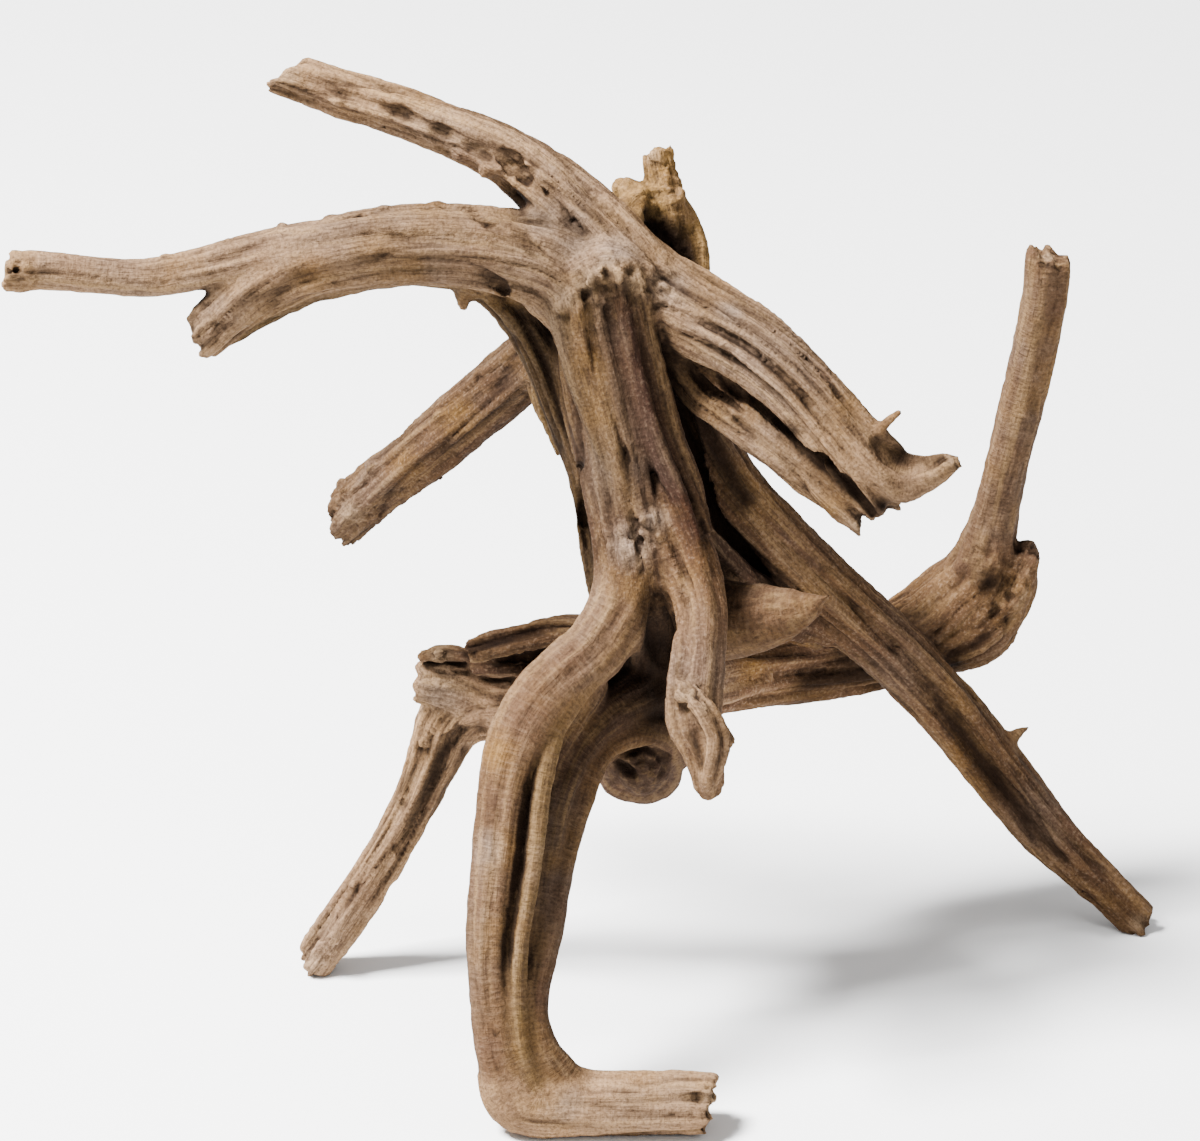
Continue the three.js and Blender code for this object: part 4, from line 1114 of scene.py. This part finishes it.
# %% The coats of colour, each with a pattern, where it starts and is full, how strong it is and a gate
WOOD_COATS = [
    ("blotch", 0.45, 0.65, 0.4, "", (0.103, 0.0788, 0.066)),
    ("patch", 0.5, 0.7, 0.55, "", (0.1133, 0.0562, 0.0132)),
    ("patch", 0.48, 0.3, 0.4, "", (0.067, 0.0356, 0.0264)),
    ("streaks", 0.5, 0.75, 0.5, "", (0.206, 0.1242, 0.0554)),
    ("streaks", 0.48, 0.3, 0.4, "", (0.0268, 0.014, 0.0079)),
    ("furrow", 0.7, 1.0, 0.4, "worn", (0.2266, 0.1458, 0.0818)),
    ("rings", 0.52, 0.68, 0.2, "smooth", (0.1648, 0.108, 0.066)),
    ("rings", 0.48, 0.34, 0.35, "smooth", (0.0371, 0.0232, 0.0132)),
    ("grit", 0.54, 0.68, 0.25, "fibrous", (0.2472, 0.1674, 0.1122)),
    ("grit", 0.48, 0.36, 0.4, "", (0.0268, 0.0151, 0.0092)),
    ("fibres", 0.52, 0.36, 0.5, "fibrous", (0.0268, 0.0151, 0.0092)),
]
DIRT_AND_PAINTED_SHADE_COATS = [
    # The next three darken the valleys and pits of the relief: partly darker wood there, partly painted
    # shade.
    ("fine", 0.35, 0.0, 0.5, "", (0.0144, 0.0076, 0.0053)),
    ("furrow", 0.4, 0.0, 0.8, "carved", (0.0093, 0.0049, 0.0033)),
    ("pit", 0.3, 1.0, 0.6, "", (0.0124, 0.0065, 0.0053)),
    # The next three darken creases, recesses and the deep gaps between limbs: painted shade.
    ("crease", 0.2, 0.75, 0.88, "", (0.0052, 0.0027, 0.0017)),
    ("shelter", 0.33, 0.52, 0.9, "", (0.0052, 0.0027, 0.0017)),
    ("painted_shade", 0.0, 1.0, 0.9, "", (0.0052, 0.0027, 0.0016)),
    ("speck", 0.58, 0.72, 0.45, "", (0.0124, 0.0076, 0.0053)),
]
print(len(WOOD_COATS), "coats of wood and", len(DIRT_AND_PAINTED_SHADE_COATS), "of dirt and painted shade")


# %% The weathered wood
def weathered_wood(material):
    """Tinted wood with worn ridges, fine grain lines and pores, furrows darkened partly by dirt and partly
    by painted shade, and painted shade in the corners.
    """
    material.use_nodes = True
    tree = material.node_tree
    tree.nodes.clear()

    def attribute(name, output="Fac"):
        return add_node(tree, "ShaderNodeAttribute", attribute_name=name).outputs[output]

    def remap(value, low, high, to_low=0.0, to_high=1.0):
        node = add_node(tree, "ShaderNodeMapRange", {0: value, 1: low, 2: high, 3: to_low, 4: to_high})
        return node.outputs[0]

    def along_grain(across, length, detail, rough=0.5):
        fields = []
        for letter in "ab":
            scaled = add_node(
                tree, "ShaderNodeMapping",
                {"Vector": attribute("grain_" + letter, "Vector"),
                 "Scale": (1 / (across * MM), 1 / (across * MM), 1 / (length * MM))}).outputs[0]
            fields.append(add_node(
                tree, "ShaderNodeTexNoise",
                {"Vector": scaled, "Scale": 1.0, "Detail": detail, "Roughness": rough}).outputs[0])
        return add_node(
            tree, "ShaderNodeMix", {0: attribute("share_b"), 2: fields[0], 3: fields[1]}).outputs[0]

    def noise(scale, detail):
        return add_node(
            tree, "ShaderNodeTexNoise", {"Vector": place, "Scale": scale, "Detail": detail}).outputs[0]

    place = add_node(tree, "ShaderNodeTexCoord").outputs["Object"]
    patterns = dict(
        blotch=noise(38.0, 3.0), patch=noise(75.0, 3.0), grit=noise(1500.0, 3.0), speck=noise(2600.0, 2.0),
        fibres=along_grain(0.5, 10.0, 2.0, 0.6), streaks=along_grain(1.8, 60.0, 2.0),
        rings=along_grain(3.6, 0.7, 2.0), furrow=attribute("furrow"), fine=attribute("fine_furrow"))
    patterns |= {name: attribute(name) for name in ("pit", "crease", "shelter", "painted_shade")}
    carved = attribute("carving")
    gates = dict(
        worn=remap(patterns["fine"], 0.6, 1.0), smooth=remap(carved, 0.7, 0.4), carved=carved,
        fibrous=remap(carved, 0.4, 0.7, 0.3, 1.0))

    def coated(colour, coats):
        for name, low, high, strength, gate, coat in coats:
            factor = remap(patterns[name], low, high, 0.0, strength)
            if gate:
                factor = calculate(tree, "MULTIPLY", gates[gate], factor)
            colour = add_node(
                tree, "ShaderNodeMix", {0: factor, 6: colour, 7: (*coat, 1.0)}, data_type="RGBA").outputs[2]
        return colour

    colour = coated(attribute("tint", "Color"), WOOD_COATS)
    # Scaled by each limb's lightness: partly its own tone, partly painted shade on undersides and webs deep
    # between limbs.
    colour = add_node(
        tree, "ShaderNodeVectorMath", {0: colour, "Scale": attribute("shade")},
        operation="SCALE").outputs[0]
    # Darker colour and painted shade in furrows and pits, painted shade in creases, recesses and deep gaps,
    # and dark pores.
    colour = coated(colour, DIRT_AND_PAINTED_SHADE_COATS)
    ring_height = remap(carved, 0.8, 0.4, 0.15, 0.9)
    height = calculate(tree, "MULTIPLY", patterns["rings"], ring_height)
    for name, strength in (("fibres", 0.6), ("grit", 0.45), ("speck", 0.15)):
        height = calculate(tree, "ADD", height, calculate(tree, "MULTIPLY", patterns[name], strength))
    bump = add_node(
        tree, "ShaderNodeBump", {"Strength": 0.7, "Distance": 0.6 * MM, "Height": height}).outputs[0]
    rough = remap(patterns["fibres"], 0.3, 0.7, 0.78, 0.95)
    shader = add_node(
        tree, "ShaderNodeBsdfPrincipled", {"Base Color": colour, "Roughness": rough, "Normal": bump})
    shader.inputs["Specular IOR Level"].default_value = 0.03
    finished = tree.nodes.new("ShaderNodeOutputMaterial")
    tree.links.new(shader.outputs[0], finished.inputs[0])


weathered_wood(paint)
print("paint with", len(paint.node_tree.nodes), "nodes")

# %% The finished piece rides on the part's body and stands for its solid
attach(wood, "root")
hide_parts("driftwood")
